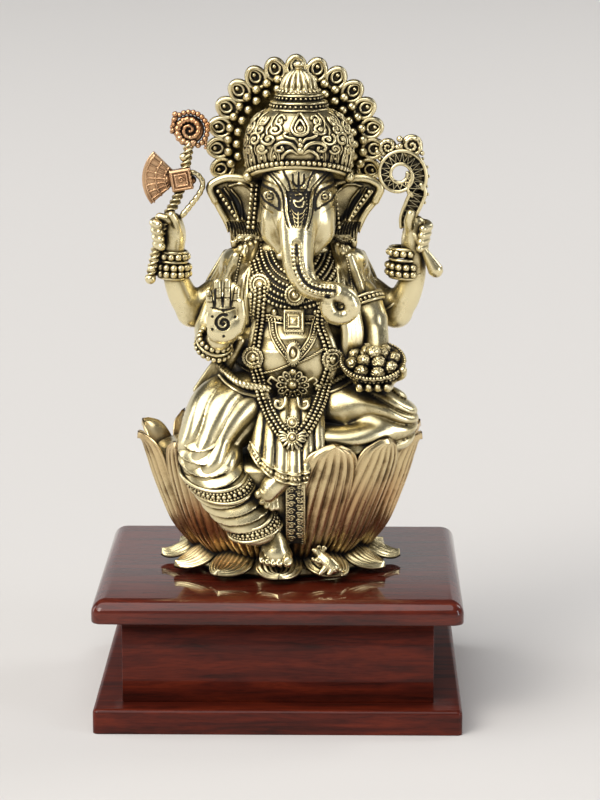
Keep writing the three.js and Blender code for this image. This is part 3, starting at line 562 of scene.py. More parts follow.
def along_lines(name, lines, shape, spacing, size, mat):
    """A plain mesh of the shape repeated along lines (lists of mm points)."""
    pts, edges = [], []
    for line in lines:
        base = len(pts)
        pts += [(p[0] * MM, p[1] * MM, (p[2] + Z0) * MM) for p in line]
        edges += [(base + i, base + i + 1) for i in range(len(line) - 1)]
    mesh = bpy.data.meshes.new(name + "_lines")
    mesh.from_pydata(pts, edges, [])
    host = link(bpy.data.objects.new(name + "_lines", mesh))
    mod = host.modifiers.new("shapes", "NODES")
    mod.node_group = STRAND
    for title, value in (("Shape", shape), ("Spacing", spacing * MM), ("Size", size * MM), ("Material", mat)):
        mod[SOCKETS[title]] = value
    mod[SOCKETS["Facing"]] = [0.0, -1.0, 0.0]    # towards the viewer
    deps = bpy.context.evaluated_depsgraph_get()
    result = bpy.data.meshes.new_from_object(host.evaluated_get(deps))
    result.name = name
    if not result.materials:
        result.materials.append(mat)
    bpy.data.objects.remove(host)
    bpy.data.meshes.remove(mesh)
    return link(bpy.data.objects.new(name, result))


# ------------------------------------------------------------------ where the front of the figure lies


class Front:
    """The y of the surface nearest the viewer over the x, z plane, in mm."""

    def __init__(self):
        self.x = np.arange(-95, 105, 0.5)
        self.z = np.arange(-2, 310, 0.5)
        self.y = np.full((len(self.x), len(self.z)), 60.0)

    def add(self, clay):
        inside = clay.d < 0
        hit = inside.any(1)
        first = np.where(hit, inside.argmax(1), 0)
        a = np.take_along_axis(clay.d, first[:, None, :], 1)[:, 0]
        b = np.take_along_axis(clay.d, np.maximum(first - 1, 0)[:, None, :], 1)[:, 0]
        y = clay.axes[1][first] - clay.h * np.clip(-a / (b - a + 1e-6), 0, 1)
        y = np.where(hit, y, 60.0)
        i = np.clip(np.round((self.x - clay.low[0]) / clay.h).astype(int), -1, y.shape[0])
        k = np.clip(np.round((self.z - clay.low[2]) / clay.h).astype(int), -1, y.shape[1])
        okx, okz = (i >= 0) & (i < y.shape[0]), (k >= 0) & (k < y.shape[1])
        gx, gz = np.where(okx)[0], np.where(okz)[0]
        part = y[np.ix_(i[gx], k[gz])]
        self.y[np.ix_(gx, gz)] = np.minimum(self.y[np.ix_(gx, gz)], part)

    def at(self, x, z):
        i = np.clip(((np.asarray(x) - self.x[0]) / 0.5).astype(int), 0, len(self.x) - 1)
        k = np.clip(((np.asarray(z) - self.z[0]) / 0.5).astype(int), 0, len(self.z) - 1)
        return self.y[i, k]

    def lay(self, line, lift=0.4, step=1.0, smooth=5):
        """A line of (x, z) laid on the front, lift mm proud of it, as (x, y, z) points."""
        p = np.asarray(line, float)
        length = np.linalg.norm(np.diff(p, axis=0), axis=1).sum()
        p = spline(p, max(3, int(length / step)))
        y = self.at(p[:, 0], p[:, 1])
        hit = np.flatnonzero(y < 20)
        if len(hit):
            y = y[hit[np.abs(np.arange(len(y))[:, None] - hit[None, :]).argmin(1)]]
        # a line bridges the gaps and turns in round a side, it does not drop straight back
        gap = 1.3 * length / max(1, len(y) - 1)
        for walk, back in ((range(1, len(y)), -1), (range(len(y) - 2, -1, -1), 1)):
            for i in walk:
                y[i] = min(y[i], y[i + back] + gap)
        if len(y) > smooth:
            pad = np.pad(y, smooth // 2, mode="edge")
            y = np.convolve(pad, np.ones(smooth) / smooth, mode="valid")[:len(p)]
        return np.stack([p[:, 0], y - lift, p[:, 1]], 1)


FRONT = Front()

# ------------------------------------------------------------------ pedestal


CORNER_POINTS = 6      # points round each corner of a board


def rounded_plan(w, d, r):
    out = []
    for cx, cy, a0 in ((w - r, d - r, 0), (-w + r, d - r, 90), (-w + r, -d + r, 180), (w - r, -d + r, 270)):
        for a in np.radians(np.linspace(a0, a0 + 90, CORNER_POINTS)):
            out.append((cx + r * math.cos(a), cy + r * math.sin(a)))
    return np.array(out)


def board_mesh(w, d, profile, corner):
    """profile: list of (inset, z) from the underside up to the top; closed with flat caps."""
    rings = []
    for inset, z in [*profile, (profile[-1][0] + 1.2, profile[-1][1])]:
        ring = rounded_plan(w - inset, d - inset, max(corner - inset * 0.6, 0.6))
        rings.append(np.column_stack([ring, np.full(len(ring), z)]))
    n = len(rings[0])
    pts = np.vstack([*rings, [[0, 0, profile[0][1]], [0, 0, profile[-1][1]]]])
    k = np.arange(n)
    low, high = len(pts) - 2, len(pts) - 1
    top = (len(rings) - 1) * n
    tris = np.concatenate([np.stack([np.full(n, low), (k + 1) % n, k], -1),
                           np.stack([np.full(n, high), top + k, top + (k + 1) % n], -1)])
    return pts, outward(pts, [tris, grid_faces(len(rings), n, wrap_cols=True)])


def pedestal():
    """Plinth board, four-sided box and top board with a rounded-over edge."""
    low, high = [np.array(v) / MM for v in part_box("top_board")]
    round_r, fascia = 8.0, high[2] - low[2] - 8.0
    arc = [(round_r * (1 - math.cos(a)), low[2] + fascia + round_r * math.sin(a))
           for a in np.linspace(0, math.pi / 2, 12)]
    profile = [(1.2, low[2]), (0.3, low[2] + 0.3), (0, low[2] + 1.0), *arc]
    pts, faces = board_mesh(high[0], high[1], profile, 6.5)
    ob = mesh_object("top_board_wood", pts, faces, WOOD_TOP, lift=0)
    hand_over(ob, ["top_board"], "pedestal")
    low, high = [np.array(v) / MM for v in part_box("plinth_board")]
    arc = [(2.2 * (1 - math.cos(a)), high[2] - 2.2 + 2.2 * math.sin(a)) for a in np.linspace(0, math.pi / 2, 6)]
    profile = [(0.6, low[2]), (0.1, low[2] + 0.2), (0, low[2] + 0.8), *arc]
    pts, faces = board_mesh(high[0], high[1], profile, 3.0)
    ob = mesh_object("plinth_board_wood", pts, faces, WOOD_X, lift=0)
    hand_over(ob, ["plinth_board"], "pedestal")
    for side in ("front", "back", "left", "right"):
        low, high = [np.array(v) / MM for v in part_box("panel_" + side)]
        low[2] -= 0.25
        high[2] += 0.25
        mid = (low + high) / 2
        half = (high - low) / 2
        pts, faces = board_mesh(half[0], half[1], [(0.35, low[2]), (0, low[2] + 0.4), (0, high[2] - 0.4),
                                                   (0.35, high[2])], 0.5)
        ob = mesh_object(f"panel_{side}_wood", pts + [mid[0], mid[1], 0], faces,
                         WOOD_X if side in ("front", "back") else WOOD_Y, lift=0)
        hand_over(ob, ["panel_" + side], "pedestal")


# ------------------------------------------------------------------ lotus

LOTUS_SQUASH = 0.815
UPPER_PATH = [(50.0, 13.0), (56.5, 19), (64.5, 30), (70.8, 45), (76.2, 60), (79.5, 71), (82.4, 78.0), (85.6, 81.6),
              (88.2, 82.2)]
LOWER_PATH = [(47.0, 15.5), (53, 12.6), (59, 9.0), (64, 6.4), (68.5, 5.0), (72.5, 5.4)]


PETAL_OUTLINE = [(0, 0.55), (0.15, 0.74), (0.35, 0.95), (0.5, 1.0), (0.65, 1.0), (0.78, 0.95), (0.87, 0.84),
                 (0.93, 0.70),
                 (0.97, 0.52), (0.99, 0.34), (1, 0.16)]
LEAF_OUTLINE = [(0, 0.8), (0.3, 0.96), (0.5, 1.0), (0.7, 0.84), (0.85, 0.56), (0.95, 0.26), (1, 0.02)]


def petal_mesh(angle, path, half, ridges, depth, thick, nu=57, nv=64, dish=0.0, tilt=0.0,
               reach=1.0, upright=True):
    """One petal: the outer skin carries fine lengthwise ridges that run to the tip; a plain lip closes it."""
    q = spline(np.asarray(path, float), nv)
    q[:, 0] = q[0, 0] + (q[:, 0] - q[0, 0]) * reach
    v = np.linspace(0, 1, nv)
    tangent = np.gradient(q, axis=0)
    tangent /= np.linalg.norm(tangent, axis=1)[:, None]
    normal = np.stack([tangent[:, 1], -tangent[:, 0]], 1)
    s = np.linspace(-1, 1, nu)
    wide = np.interp(v, *zip(*PETAL_OUTLINE if upright else LEAF_OUTLINE))
    wide = np.convolve(np.pad(wide, 2, mode="edge"), np.ones(5) / 5, "valid")
    rounded_end = np.sqrt(np.clip(1 - np.clip((v - 0.93) / 0.07, 0, 1) ** 2, 0, 1))
    wide = np.maximum(wide * rounded_end, 0.02) * half
    S, V = np.meshgrid(s, v, indexing="ij")
    fade = np.clip((0.97 - V) / 0.12, 0, 1) * np.clip((1 - np.abs(S)) / 0.10, 0, 1)
    groove = np.abs(np.sin(ridges * np.pi * (S * 0.5 + 0.006 * np.sin(5 * V)))) ** 0.8
    lift = depth * (groove - 0.5) * fade
    bow = dish * S ** 2
    skins = []
    for layer in (1, 0):
        off = (lift if layer else 0) + (thick * (0.5 + 0.5 * (1 - np.abs(S) ** 3)) if layer else 0) + bow
        r = q[None, :, 0] + normal[None, :, 0] * off
        z = q[None, :, 1] + normal[None, :, 1] * off
        turn = angle + S * wide[None, :] / np.maximum(r, 1) + tilt * V
        skins.append(np.stack([r * np.cos(turn), r * np.sin(turn) * LOTUS_SQUASH, z], -1).reshape(-1, 3))
    pts = np.vstack(skins)
    n = nu * nv
    outer = grid_faces(nu, nv)
    inner = grid_faces(nu, nv)[:, ::-1] + n
    rim = np.concatenate([np.arange(nv), np.arange(1, nu) * nv + nv - 1,
                          (nu - 1) * nv + np.arange(nv - 2, -1, -1), np.arange(nu - 2, 0, -1) * nv])
    nxt = np.roll(rim, -1)
    edge = np.stack([rim, nxt, nxt + n, rim + n], -1)
    edge_ok = edge[:, ::-1]
    return pts, outward(pts, [np.concatenate([outer, inner, edge_ok])])


def lotus():
    """Hollow base, a ring of tall ribbed petals and a ring of splayed lower ones."""
    wall = [(46, 0.0), (50.5, 0.2), (50.5, 3), (47.5, 8), (48.5, 13), (56, 20), (63.5, 31), (69.5, 45), (74.6, 60),
            (76, 68), (74, 72), (60, 74), (0, 74)]
    hollow = [(0, 69), (66, 66), (69, 58), (63, 42), (55, 27), (44.5, 14), (44.0, 6), (46, 0.0)]
    around = 120
    profile = np.array([*[(r, z) for r, z in hollow[:-1]], *wall])
    pts, faces = lathe_mesh(profile, (0, 0, 0), around, LOTUS_SQUASH)
    hand_over(mesh_object("lotus_core_brass", pts, faces, CARVED), ["lotus_core"])
    nudge = {8: -4, 9: 4, 10: -2}
    for i in range(12):
        angle = math.radians(30 * i + 15 + nudge.get(i, 0))
        flare = abs(math.cos(angle)) ** 1.5
        path = [(r - max(0, r - 81) * (1 - flare), z + 1.5 * (1 - flare) * (z > 76)) for r, z in UPPER_PATH]
        if i == 8:
            path = [(r, z) for r, z in path if z < 66]
        if i in (9, 10):
            path = [(r + 4.0 * min(1, max(0, z - 40) / 30), z + 3.0 * min(1, max(0, z - 45) / 30)) for r, z in path]
        pts, faces = petal_mesh(angle, path, 20.6, 7, 1.9, 2.2, nu=70, nv=52, dish=-2.2,
                                tilt=0.06 if i in (9, 10) else 0.0)
        hand_over(mesh_object(f"upper_petal_{i + 1:02d}_brass", pts, faces, PETAL), [f"upper_petal_{i + 1:02d}"])
    leaves = []
    for i in range(12):
        angle = math.radians(30 * i)
        lower = [(r, z) for r, z in LOWER_PATH]
        leaves.append(petal_mesh(angle, lower, 14.4, 9, -1.1, -2.6, nu=55, nv=28, dish=2.0, upright=False))
    pts, faces = join_meshes(leaves)
    hand_over(mesh_object("lower_petal_ring_brass", pts, faces, CARVED), ["lower_petal_ring"])


# ------------------------------------------------------------------ body


def torso():
    clay = Clay((-56, -62, 60), (72, 28, 200), 0.88)
    clay.ball((8, -6, 98), (46, 35, 26))
    clay.ball((8.3, -10, 132), (37.5, 34, 29), 8)
    clay.ball((8.3, -3, 164), (34, 27, 27), 8)
    clay.limb([(-24, 0, 177, 13), (41, 0, 177, 13)], 6)
    clay.ball((-7, -19, 163), (12, 11, 12), 6)
    clay.ball((24, -19, 163), (12, 11, 12), 6)
    clay.ball((8.3, -43, 118), (2.2, 3, 2.2), 1.5, cut=True)
    fold = clay.sheet()
    fold.stroke([(-30, 143), (-10, 141), (27, 141), (46, 143)], 3.2, -0.8)
    clay.relief(fold.a, (-60, -10))
    clay.ball((-25, -5, 125), (10, 12, 11), 3)
    FRONT.add(clay)
    clay.ball((9.5, -1, 190), (24, 12, 11), 2)
    from_clay("torso_brass", clay, SKIN, ["torso"])


def legs():
    """Thigh and wrapped shin of the lowered leg, the folded leg, and both feet."""
    clay = Clay((-68, -72, 50), (20, 20, 136), 0.76)
    def thigh_folds(t, x, y, z):
        across = 0.62 * (z - 100) - 0.78 * (x + 30)
        ridge = 0.5 + 0.5 * np.sin(across * 0.52 + 2.0 * np.sin(0.06 * (x + z) + 0.4) + 0.8 * np.sin(0.15 * z))
        return (2.2 * (0.6 - ridge ** 0.36)).astype(np.float32)
    clay.limb([(2, -12, 98, 21), (-18, -26, 101, 22.5), (-34, -38, 97, 21.5), (-40.5, -46, 84, 18.5),
               (-38, -51, 72, 17.5)], 1,
              detail=thigh_folds)
    FRONT.add(clay)
    from_clay("thigh_lowered_brass", clay, SKIN, ["thigh_lowered"])

    clay = Clay((-66, -82, 18), (16, -20, 100), 0.60)
    def wraps(t, x, y, z):
        ring = z - 0.22 * (x + 30) - 0.50 * (y + 54)
        saw = ((ring - 30) / 6.8 + 0.12 * np.sin(0.12 * x)) % 1.0
        roll = np.where(saw < 0.18, saw / 0.18, 1 - (saw - 0.18) / 0.82) ** 0.8
        return (1.6 - 3.0 * roll).astype(np.float32)
    clay.limb([(-42, -50, 78, 16.0), (-36, -52.5, 66, 16.6), (-28, -54, 54, 16.2), (-19.5, -54, 43, 14.8),
               (-13, -53, 37, 13.2)], 1, detail=wraps)
    FRONT.add(clay)
    from_clay("shin_lowered_brass", clay, POLISHED, ["shin_lowered"])

    clay = Clay((-20, -72, 4), (16, -34, 48), 0.40)
    clay.limb([(-9, -49, 40, 8.0), (-5.5, -50, 33, 8.0), (-3, -51, 26, 8.4), (-1.5, -53, 20.5, 8.0)], 2)
    clay.ball((-1.5, -54, 17.5), (9.8, 7, 5), 3)
    for k, (x, z, r) in enumerate(((-9.4, 12.4, 1.9), (-6.2, 11.5, 2.1), (-2.8, 11.0, 2.2), (0.8, 11.0, 2.4),
                                   (5.4, 11.6, 3.2))):
        z += 4.2
        clay.limb([(x * 0.85, -55, z + 3.5, r), (x, -59.5, z + 0.4, r), (x, -61, z - 0.8, r * 0.9)], 0.3)
        clay.ball((x, -61 - r * 0.72, z + 0.3), (r * 0.62, 0.7, r * 0.6), 0.2, cut=True)
    FRONT.add(clay)
    from_clay("foot_lowered_brass", clay, SKIN, ["foot_lowered"])

    clay = Clay((0, -74, 56), (92, 20, 132), 0.76)
    def side_folds(t, x, y, z):
        # creases run out from the knee and waver on the way
        fan = np.arctan2(z - 89 + 1.6 * np.sin(0.13 * x + 0.05 * y), 104 - x)
        ridge = 0.5 + 0.5 * np.sin(fan * 27 + 1.5 * np.sin(0.09 * (x + 2 * z)) + 0.9)
        keep = (0.45 + 0.55 * np.clip((x - 10) / 20, 0, 1)) * np.clip((90 - x) / 16, 0.15, 1)
        return (keep * 2.7 * (0.62 - ridge ** 0.36)).astype(np.float32)
    clay.limb([(14, -14, 97, 22), (38, -24, 99, 20), (58, -28, 98, 17.5), (67.5, -28, 95, 14.5)], 1,
              detail=side_folds)
    clay.limb([(67, -29, 88, 13.0), (52, -40, 85, 12.0), (34, -46, 83.5, 11.4), (14, -49, 81, 9.2)], 3,
              detail=side_folds)
    FRONT.add(clay)
    from_clay("leg_folded_brass", clay, SKIN, ["leg_folded"])

    clay = Clay((-22, -78, 40), (18, -48, 78), 0.42)
    clay.limb([(9, -59, 73, 6.2), (3.5, -61.5, 68, 7.0), (-2.5, -63.5, 62, 7.0), (-6, -64.8, 57.5, 6.0)], 2)
    for k, (x, z, r) in enumerate(((-11.2, 57.6, 2.7), (-9.2, 53.4, 2.2), (-6.4, 50.8, 2.1), (-3.4, 49.4, 1.9),
                                   (-0.8, 49.6, 1.7))):
        clay.limb([(x * 0.7 - 0.8, -65.5, 59 - 0.8 * k, r), (x, -68 + 0.3 * k, z, r)], 0.5)
    from_clay("foot_folded_brass", clay, SKIN, ["foot_folded"])


def arms():
    """Four arms with their hands."""
    for side, word in ((-1, "left"), (1, "right")):
        cx = 8.3
        def at(x, y, z, r):
            return (cx + side * x, y, z, r)
        lo = (cx - 84, -16, 136) if side < 0 else (cx + 20, -16, 136)
        hi = (cx - 20, 22, 212) if side < 0 else (cx + 84, 22, 212)
        clay = Clay(lo, hi, 0.70)
        clay.limb([at(30, 6, 176, 9.5), at(48, 6, 163, 9.2), at(60.5, 4, 153.5, 9.0)], 2)
        clay.limb([at(60.5, 4, 153.5, 9.0), at(66, 2, 162, 8.8), at(70.5, 0, 174, 7.4), at(72, -1, 186, 6.6),
                   at(72, -1, 195, 7.2)], 3)
        clay.ball((cx + side * 61.5, 4, 150.6), (6.5, 6.5, 5), 5)
        from_clay(f"rear_arm_{word}_brass", clay, SKIN, [f"rear_arm_{word}"])
    # raised hand, viewer's left, closed round the axe
    clay = Clay((-84, -20, 188), (-50, 12, 224), 0.42)
    clay.limb([(-64, -1, 192, 7), (-63.5, -1.5, 200, 7.6), (-64, -2, 207, 6.5)], 2)
    clay.limb([(-64, -5, 207.5, 3), (-66, -8, 210, 2.8), (-71, -8, 211.5, 2.6)], 1.2)
    for k in range(4):
        z = 208.5 - 4.3 * k
        clay.limb([(-66, -1, z, 2.7), (-71 + 0.5 * k, -4, z + 0.5, 2.8), (-74.5 + 0.6 * k, -9, z, 2.7),
                   (-71.5 + 0.5 * k, -13, z - 1.0, 2.5)], 0.9)
    clay.limb([(-60, -4, 200, 3), (-61.5, -8, 208, 2.8), (-64, -10, 213, 2.4)], 1.0)
    from_clay("rear_hand_left_brass", clay, SKIN, ["rear_hand_left"])
    clay = Clay((62, -20, 184), (100, 12, 226), 0.42)
    clay.limb([(79, -1, 190, 7), (79.5, -1.5, 198, 7.6), (80, -2, 206, 6.2)], 2)
    clay.limb([(77, -5, 202, 3), (76, -9, 209, 2.8), (77, -10, 214, 2.4)], 1.2)
    for k in range(4):
        z = 206.5 - 3.9 * k
        clay.limb([(82, 1, z, 2.6), (86.5 - 0.6 * k, -2, z + 0.6, 2.7), (88 - 0.8 * k, -7, z - 0.6, 2.5),
                   (84.5 - 0.6 * k, -11, z - 1.4, 2.3)], 0.9)
    from_clay("rear_hand_right_brass", clay, SKIN, ["rear_hand_right"])
    # front arm and open palm
    clay = Clay((-58, -60, 128), (-14, 14, 190), 0.60)
    clay.limb([(-22, -6, 172, 10), (-35, -9, 158, 10), (-40.5, -13, 145, 9.5)], 3)
    clay.limb([(-40.5, -13, 145, 9.5), (-41, -26, 139, 9), (-38, -38, 139.5, 7.6), (-35, -46, 145, 7.0)], 3)
    from_clay("front_arm_left_brass", clay, SKIN, ["front_arm_left"])
    clay = Clay((-48, -62, 138), (-14, -42, 190), 0.34)
    clay.ball((-31.4, -50.5, 158), (10.6, 4.6, 11.5), 2)
    clay.ball((-32, -50.5, 149.5), (9.2, 5.4, 6.5), 3)
    clay.ball((-26, -53.2, 153), (4.2, 2.8, 6.5), 2, turn=-20)
    for x0, x1, top, r in ((-39.2, -40.2, 173.6, 2.2), (-34.7, -35.0, 179.6, 2.45), (-29.9, -29.4, 180.2, 2.45),
                           (-25.3, -23.8, 175.6, 2.25)):
        clay.limb([(x0, -51.0, 164, r + 0.25), (x0 + (x1 - x0) * 0.5, -51.6, (164 + top) / 2, r),
                   (x1, -51.0, top, r - 0.2)], 0.3)
        for f in (0.34, 0.68):
            z = 164 + (top - 164) * f + 1
            clay.limb([(x0 - 2.6, -54.2, z, 0.45), (x0 + 3.4, -54.2, z, 0.45)], 0.6, cut=True)
    clay.limb([(-23.5, -51, 152, 3.6), (-21.4, -52, 160, 3.0), (-21.8, -52.4, 168.4, 2.4)], 1.5)
    mark = clay.sheet()
    mark.spiral((-31.6, 156.2), 5.2, 1.7, 0.75, -0.95, start=1.2)
    for k in range(5):
        a = math.radians(30 + 60 * k)
        mark.dot((-31.6 + 7.6 * math.cos(a), 156.2 + 7.4 * math.sin(a)), 0.8, -0.8)
    mark.stroke([(-38, 164.6), (-31, 163.2), (-25, 164.8)], 0.4, -0.45)
    clay.relief(mark.a, (-60, -50))
    # patina in the palm's cut marks and finger creases, and painted shade in the gaps between the fingers
    dark = clay.sheet()
    dark.spiral((-31.6, 156.2), 5.2, 1.7, 1.0, 1.0, start=1.2)
    for k in range(5):
        a = math.radians(30 + 60 * k)
        dark.dot((-31.6 + 7.6 * math.cos(a), 156.2 + 7.4 * math.sin(a)), 1.0, 1.0)
    dark.stroke([(-39, 165.4), (-31, 164.2), (-25, 165.4)], 0.5, 0.8)
    # painted shade in the gaps between the fingers
    for x, top in ((-36.8, 175.5), (-32.2, 179.5), (-27.6, 177)):
        dark.stroke([(x, 166), (x + 0.3, (166 + top) / 2), (x + 0.5, top)], 0.75, 1.0)
    for x0, top in ((-39.0, 174.0), (-34.4, 180.6), (-29.6, 180.9), (-25.3, 176.0)):
        for f in (0.36, 0.70):
            z = 164 + (top - 164) * f + 1
            dark.stroke([(x0 - 1.8, z), (x0 + 1.8, z)], 0.4, 0.7)
    from_clay("blessing_hand_brass", clay, SKIN, ["blessing_hand"], patina_and_painted_shade=dark)
    # front arm to the bowl
    clay = Clay((30, -58, 112), (72, 14, 190), 0.60)
    clay.limb([(38, -5, 172, 11), (49, -10, 163, 10.5), (54, -15, 152, 9.5)], 3)
    clay.limb([(54, -15, 152, 9), (56.5, -22, 142, 8), (57, -32, 130, 7)], 3)
    from_clay("front_arm_right_brass", clay, SKIN, ["front_arm_right"])
    clay = Clay((34, -70, 108), (78, -22, 134), 0.46)
    clay.ball((56, -38, 119.5), (13, 11, 5), 2)
    for k in range(4):
        x = 47.5 + 5.3 * k
        clay.limb([(x + 1, -42, 117.0, 2.9), (x, -51, 117.6, 2.5), (x - 0.4, -55.0, 119.0, 1.8)], 0.9)
    clay.limb([(68, -36, 121, 3), (72, -44, 124, 2.6), (72.5, -50, 128, 2.3)], 1)
    from_clay("serving_hand_brass", clay, SKIN, ["serving_hand"])


# ------------------------------------------------------------------ head

HEAD_X = 10.8


def head():
    """Smooth elephant face with slanting almond eyes and a dark forehead mark; the trunk curls to the right."""
    clay = Clay((HEAD_X - 30, -66, 184), (HEAD_X + 30, 14, 256), 0.46)
    c = HEAD_X
    clay.ball((c, -12, 224), (22.5, 24, 24))
    clay.ball((c, -16, 240), (20, 20, 12), 6)
    clay.limb([(c, -2, 199.5, 11.5), (c, -6, 212, 14)], 4)
    for side in (-1, 1):
        clay.ball((c + side * 8.5, -25, 232), (9.5, 10, 10), 5)
        clay.ball((c + side * 12.5, -22, 212), (9.5, 12, 13), 6)
        clay.limb([(c + side * 13, -22, 204, 7.5), (c + side * 8, -27, 197, 6)], 5)
    clay.limb([(c, -28, 222, 11), (c, -35, 211, 11), (c, -40, 200, 9.6), (c + 0.3, -44, 190, 8.8)], 5)
    clay.limb([(c - 6, -38, 197, 2.6), (c - 10, -42, 193.5, 2.0)], 1.5)
    lines, dark = clay.sheet(), clay.sheet()
    slant = math.radians(36)
    for side, x in ((-1, -5.2), (1, 26.8)):
        def pt(a, b):
            a, b = 1.30 * a, 1.55 * b
            return (x + side * (a * math.cos(slant) - b * math.sin(slant)),
                    227 + a * math.sin(slant) + b * math.cos(slant))
        top = [pt(-6.6, -1.6), pt(-3.6, 1.6), pt(0.4, 2.9), pt(4.2, 1.8), pt(7.4, -0.6)]
        low = [pt(-6.6, -1.6), pt(-2.6, -2.3), pt(1.4, -2.7), pt(4.6, -2.1), pt(7.4, -0.6)]
        lid = [pt(-7.4, 0.4), pt(-3.8, 3.9), pt(0.8, 5.1), pt(5.0, 3.8), pt(8.6, 1.2)]
        bag = [pt(-5.2, -4.2), pt(-2.0, -4.7), pt(2.2, -4.8), pt(5.8, -3.8)]
        for path, w, cut, ink in ((top, 0.8, -1.3, 1.0), (low, 0.6, -1.0, 1.0), (lid, 0.42, -0.6, 0.6),
                                  (bag, 0.4, -0.5, 0.45)):
            lines.stroke(path, w, cut)
            dark.stroke(path, w + 0.25, ink)
        lines.stroke([pt(-6.8, 0.9), pt(-3.4, 2.8), pt(0.6, 4.0), pt(4.8, 2.9)], 0.5, 0.5)
        lines.ring(pt(0.3, 0.1), 2.1, 0.4, -0.8)
        dark.ring(pt(0.3, 0.1), 2.1, 0.55, 1.0)
        dark.dot(pt(0.3, 0.1), 1.05, 1.0)
        dark.stroke([pt(-9.6, 6.4), pt(-4.4, 9.2), pt(2.0, 9.6), pt(8.2, 7.0)], 0.5, 0.5)
        lines.stroke([pt(-9.6, 6.4), pt(-4.4, 9.2), pt(2.0, 9.6), pt(8.2, 7.0)], 0.5, -0.5)
        for j in range(3):
            crease = [(x - side * (1 + 1.2 * j), 216 - 2.5 * j), (x - side * (3.2 + j), 210 - 2 * j)]
            lines.stroke(crease, 0.4, -0.3)
            dark.stroke(crease, 0.4, 0.25)
    # the forehead mark: a dark shield with a trident, a curl and a leaf, in a double outline
    edge = [(18, 241.5), (13, 237.0), (9, 232.0), (7.6, 226), (7.0, 219), (5.2, 212.5), (2.6, 207.6), (0, 205)]
    for grow, w, up, ink in ((0, 0.5, 0.5, 0.0), (1.2, 0.45, -0.7, 0.9), (-1.5, 0.45, -0.5, 0.7)):
        for side in (-1, 1):
            path = [(c + 0.7 + side * max(0, a + grow), z - (0.9 * grow if a < 3 else 0)) for a, z in edge]
            lines.stroke(path, w, up)
            if ink:
                dark.stroke(path, w + 0.1, ink)
    knots = np.array(edge)[::-1]
    zz, xx = dark.z[None, :], np.abs(dark.x[:, None] - c - 0.7)
    half = np.minimum(np.interp(zz[0], knots[:, 1], knots[:, 0]) - 1.0, 8.6)[None, :]
    inside = np.clip((half - xx) / 0.5, 0, 1) * ((zz > 205.5) & (zz < 246))
    m = c + 0.7
    motif = clay.sheet()
    for pts, w in (([(m, 230), (m, 241.5)], 0.6),
                   ([(m - 3.2, 240.5), (m - 3.0, 235.5), (m, 233.4), (m + 3.0, 235.5), (m + 3.2, 240.5)], 0.55),
                   ([(m - 4.4, 231.4), (m + 4.4, 231.4)], 0.45), ([(m, 207.8), (m, 219)], 0.6),
                   ([(m - 2.0, 228.6), (m + 1.8, 229), (m + 2.6, 226.6), (m, 225), (m - 2.8, 225.6), (m - 1.2, 222.4),
                     (m + 2.2, 222.2), (m + 3.4, 224.8)], 0.65)):
        motif.stroke(pts, w, 1.0)
    for k in range(5):
        z = 208.6 + 2.3 * k
        for side in (-1, 1):
            motif.stroke([(m, z), (m + side * (1.2 + 0.3 * k), z + 1.0), (m + side * (1.8 + 0.55 * k), z + 3.0)], 0.42,
                         1.0)
    for side in (-1, 1):
        motif.dots([(m + side * 4.4, 229), (m + side * 5.0, 222), (m + side * 4.2, 216)], 1.7, 0.5, 1.0)
    lower = inside * (zz < 230.5)
    upper = inside * (zz >= 230.5)
    lines.a += (0.9 * lower * (np.clip(motif.a, 0, 1) - 1) - 0.7 * upper * np.clip(motif.a, 0, 1)).astype(np.float32)
    ink = 0.85 * lower * (1 - 1.5 * motif.a) + upper * np.clip(1.4 * motif.a, 0, 1)
    dark.a = np.maximum(dark.a, ink.astype(np.float32))
    for side in (-1, 1):
        funnel = [(m + side * 8.8, 242), (m + side * 6.0, 236.5), (m + side * 4.6, 231.5), (m + side * 2.4, 228)]
        dark.stroke(funnel, 0.7, 0.9)
        lines.stroke(funnel, 0.6, -0.6)
    clay.relief(lines.a, (-70, -20))
    for side, x in ((-1, -5.2), (1, 26.8)):
        clay.ball((x + side * 0.3, -31.6, 227), (4.0, 2.0, 3.0), 0.8, turn=side * 36)
    FRONT.add(clay)
    from_clay("head_brass", clay, SKIN, ["head"], patina_and_painted_shade=dark)

    clay = Clay((-4, -66, 150), (52, -26, 212), 0.43)
    path = [(c, -38, 205, 10.4), (c + 0.1, -42, 197, 9.4), (c + 1.2, -45.5, 187, 8.4), (c + 5.4, -49, 178.6, 7.2),
            (c + 13.2, -50.5, 174.6, 6.3), (c + 22, -51, 173.9, 6.0), (c + 29.4, -51, 170.4, 5.6),
            (c + 31.6, -51, 164.4, 5.2), (c + 27, -51, 159.8, 5.0), (c + 20.6, -51.5, 161.0, 5.2),
            (c + 17.8, -52.5, 166.0, 4.8), (c + 18.2, -53.4, 170.6, 3.8)]
    def wrinkles(t, x, y, z):
        strong = np.clip((t - 0.45) / 0.1, 0, 1) * 0.07
        return (strong * np.sin(t * 150)).astype(np.float32)
    clay.limb(path, 1.2, detail=wrinkles)
    clay.ball((c + 18.0, -54.6, 171.8), (4.2, 2.6, 2.0), 0.8)
    clay.ball((c + 18.0, -56.4, 172.4), (2.0, 1.6, 0.9), 0.4, cut=True)
    clay.limb([(c + 25.0, -62, 166.4, 2.1), (c + 25.0, -42, 166.4, 2.1)], 0.4, cut=True)
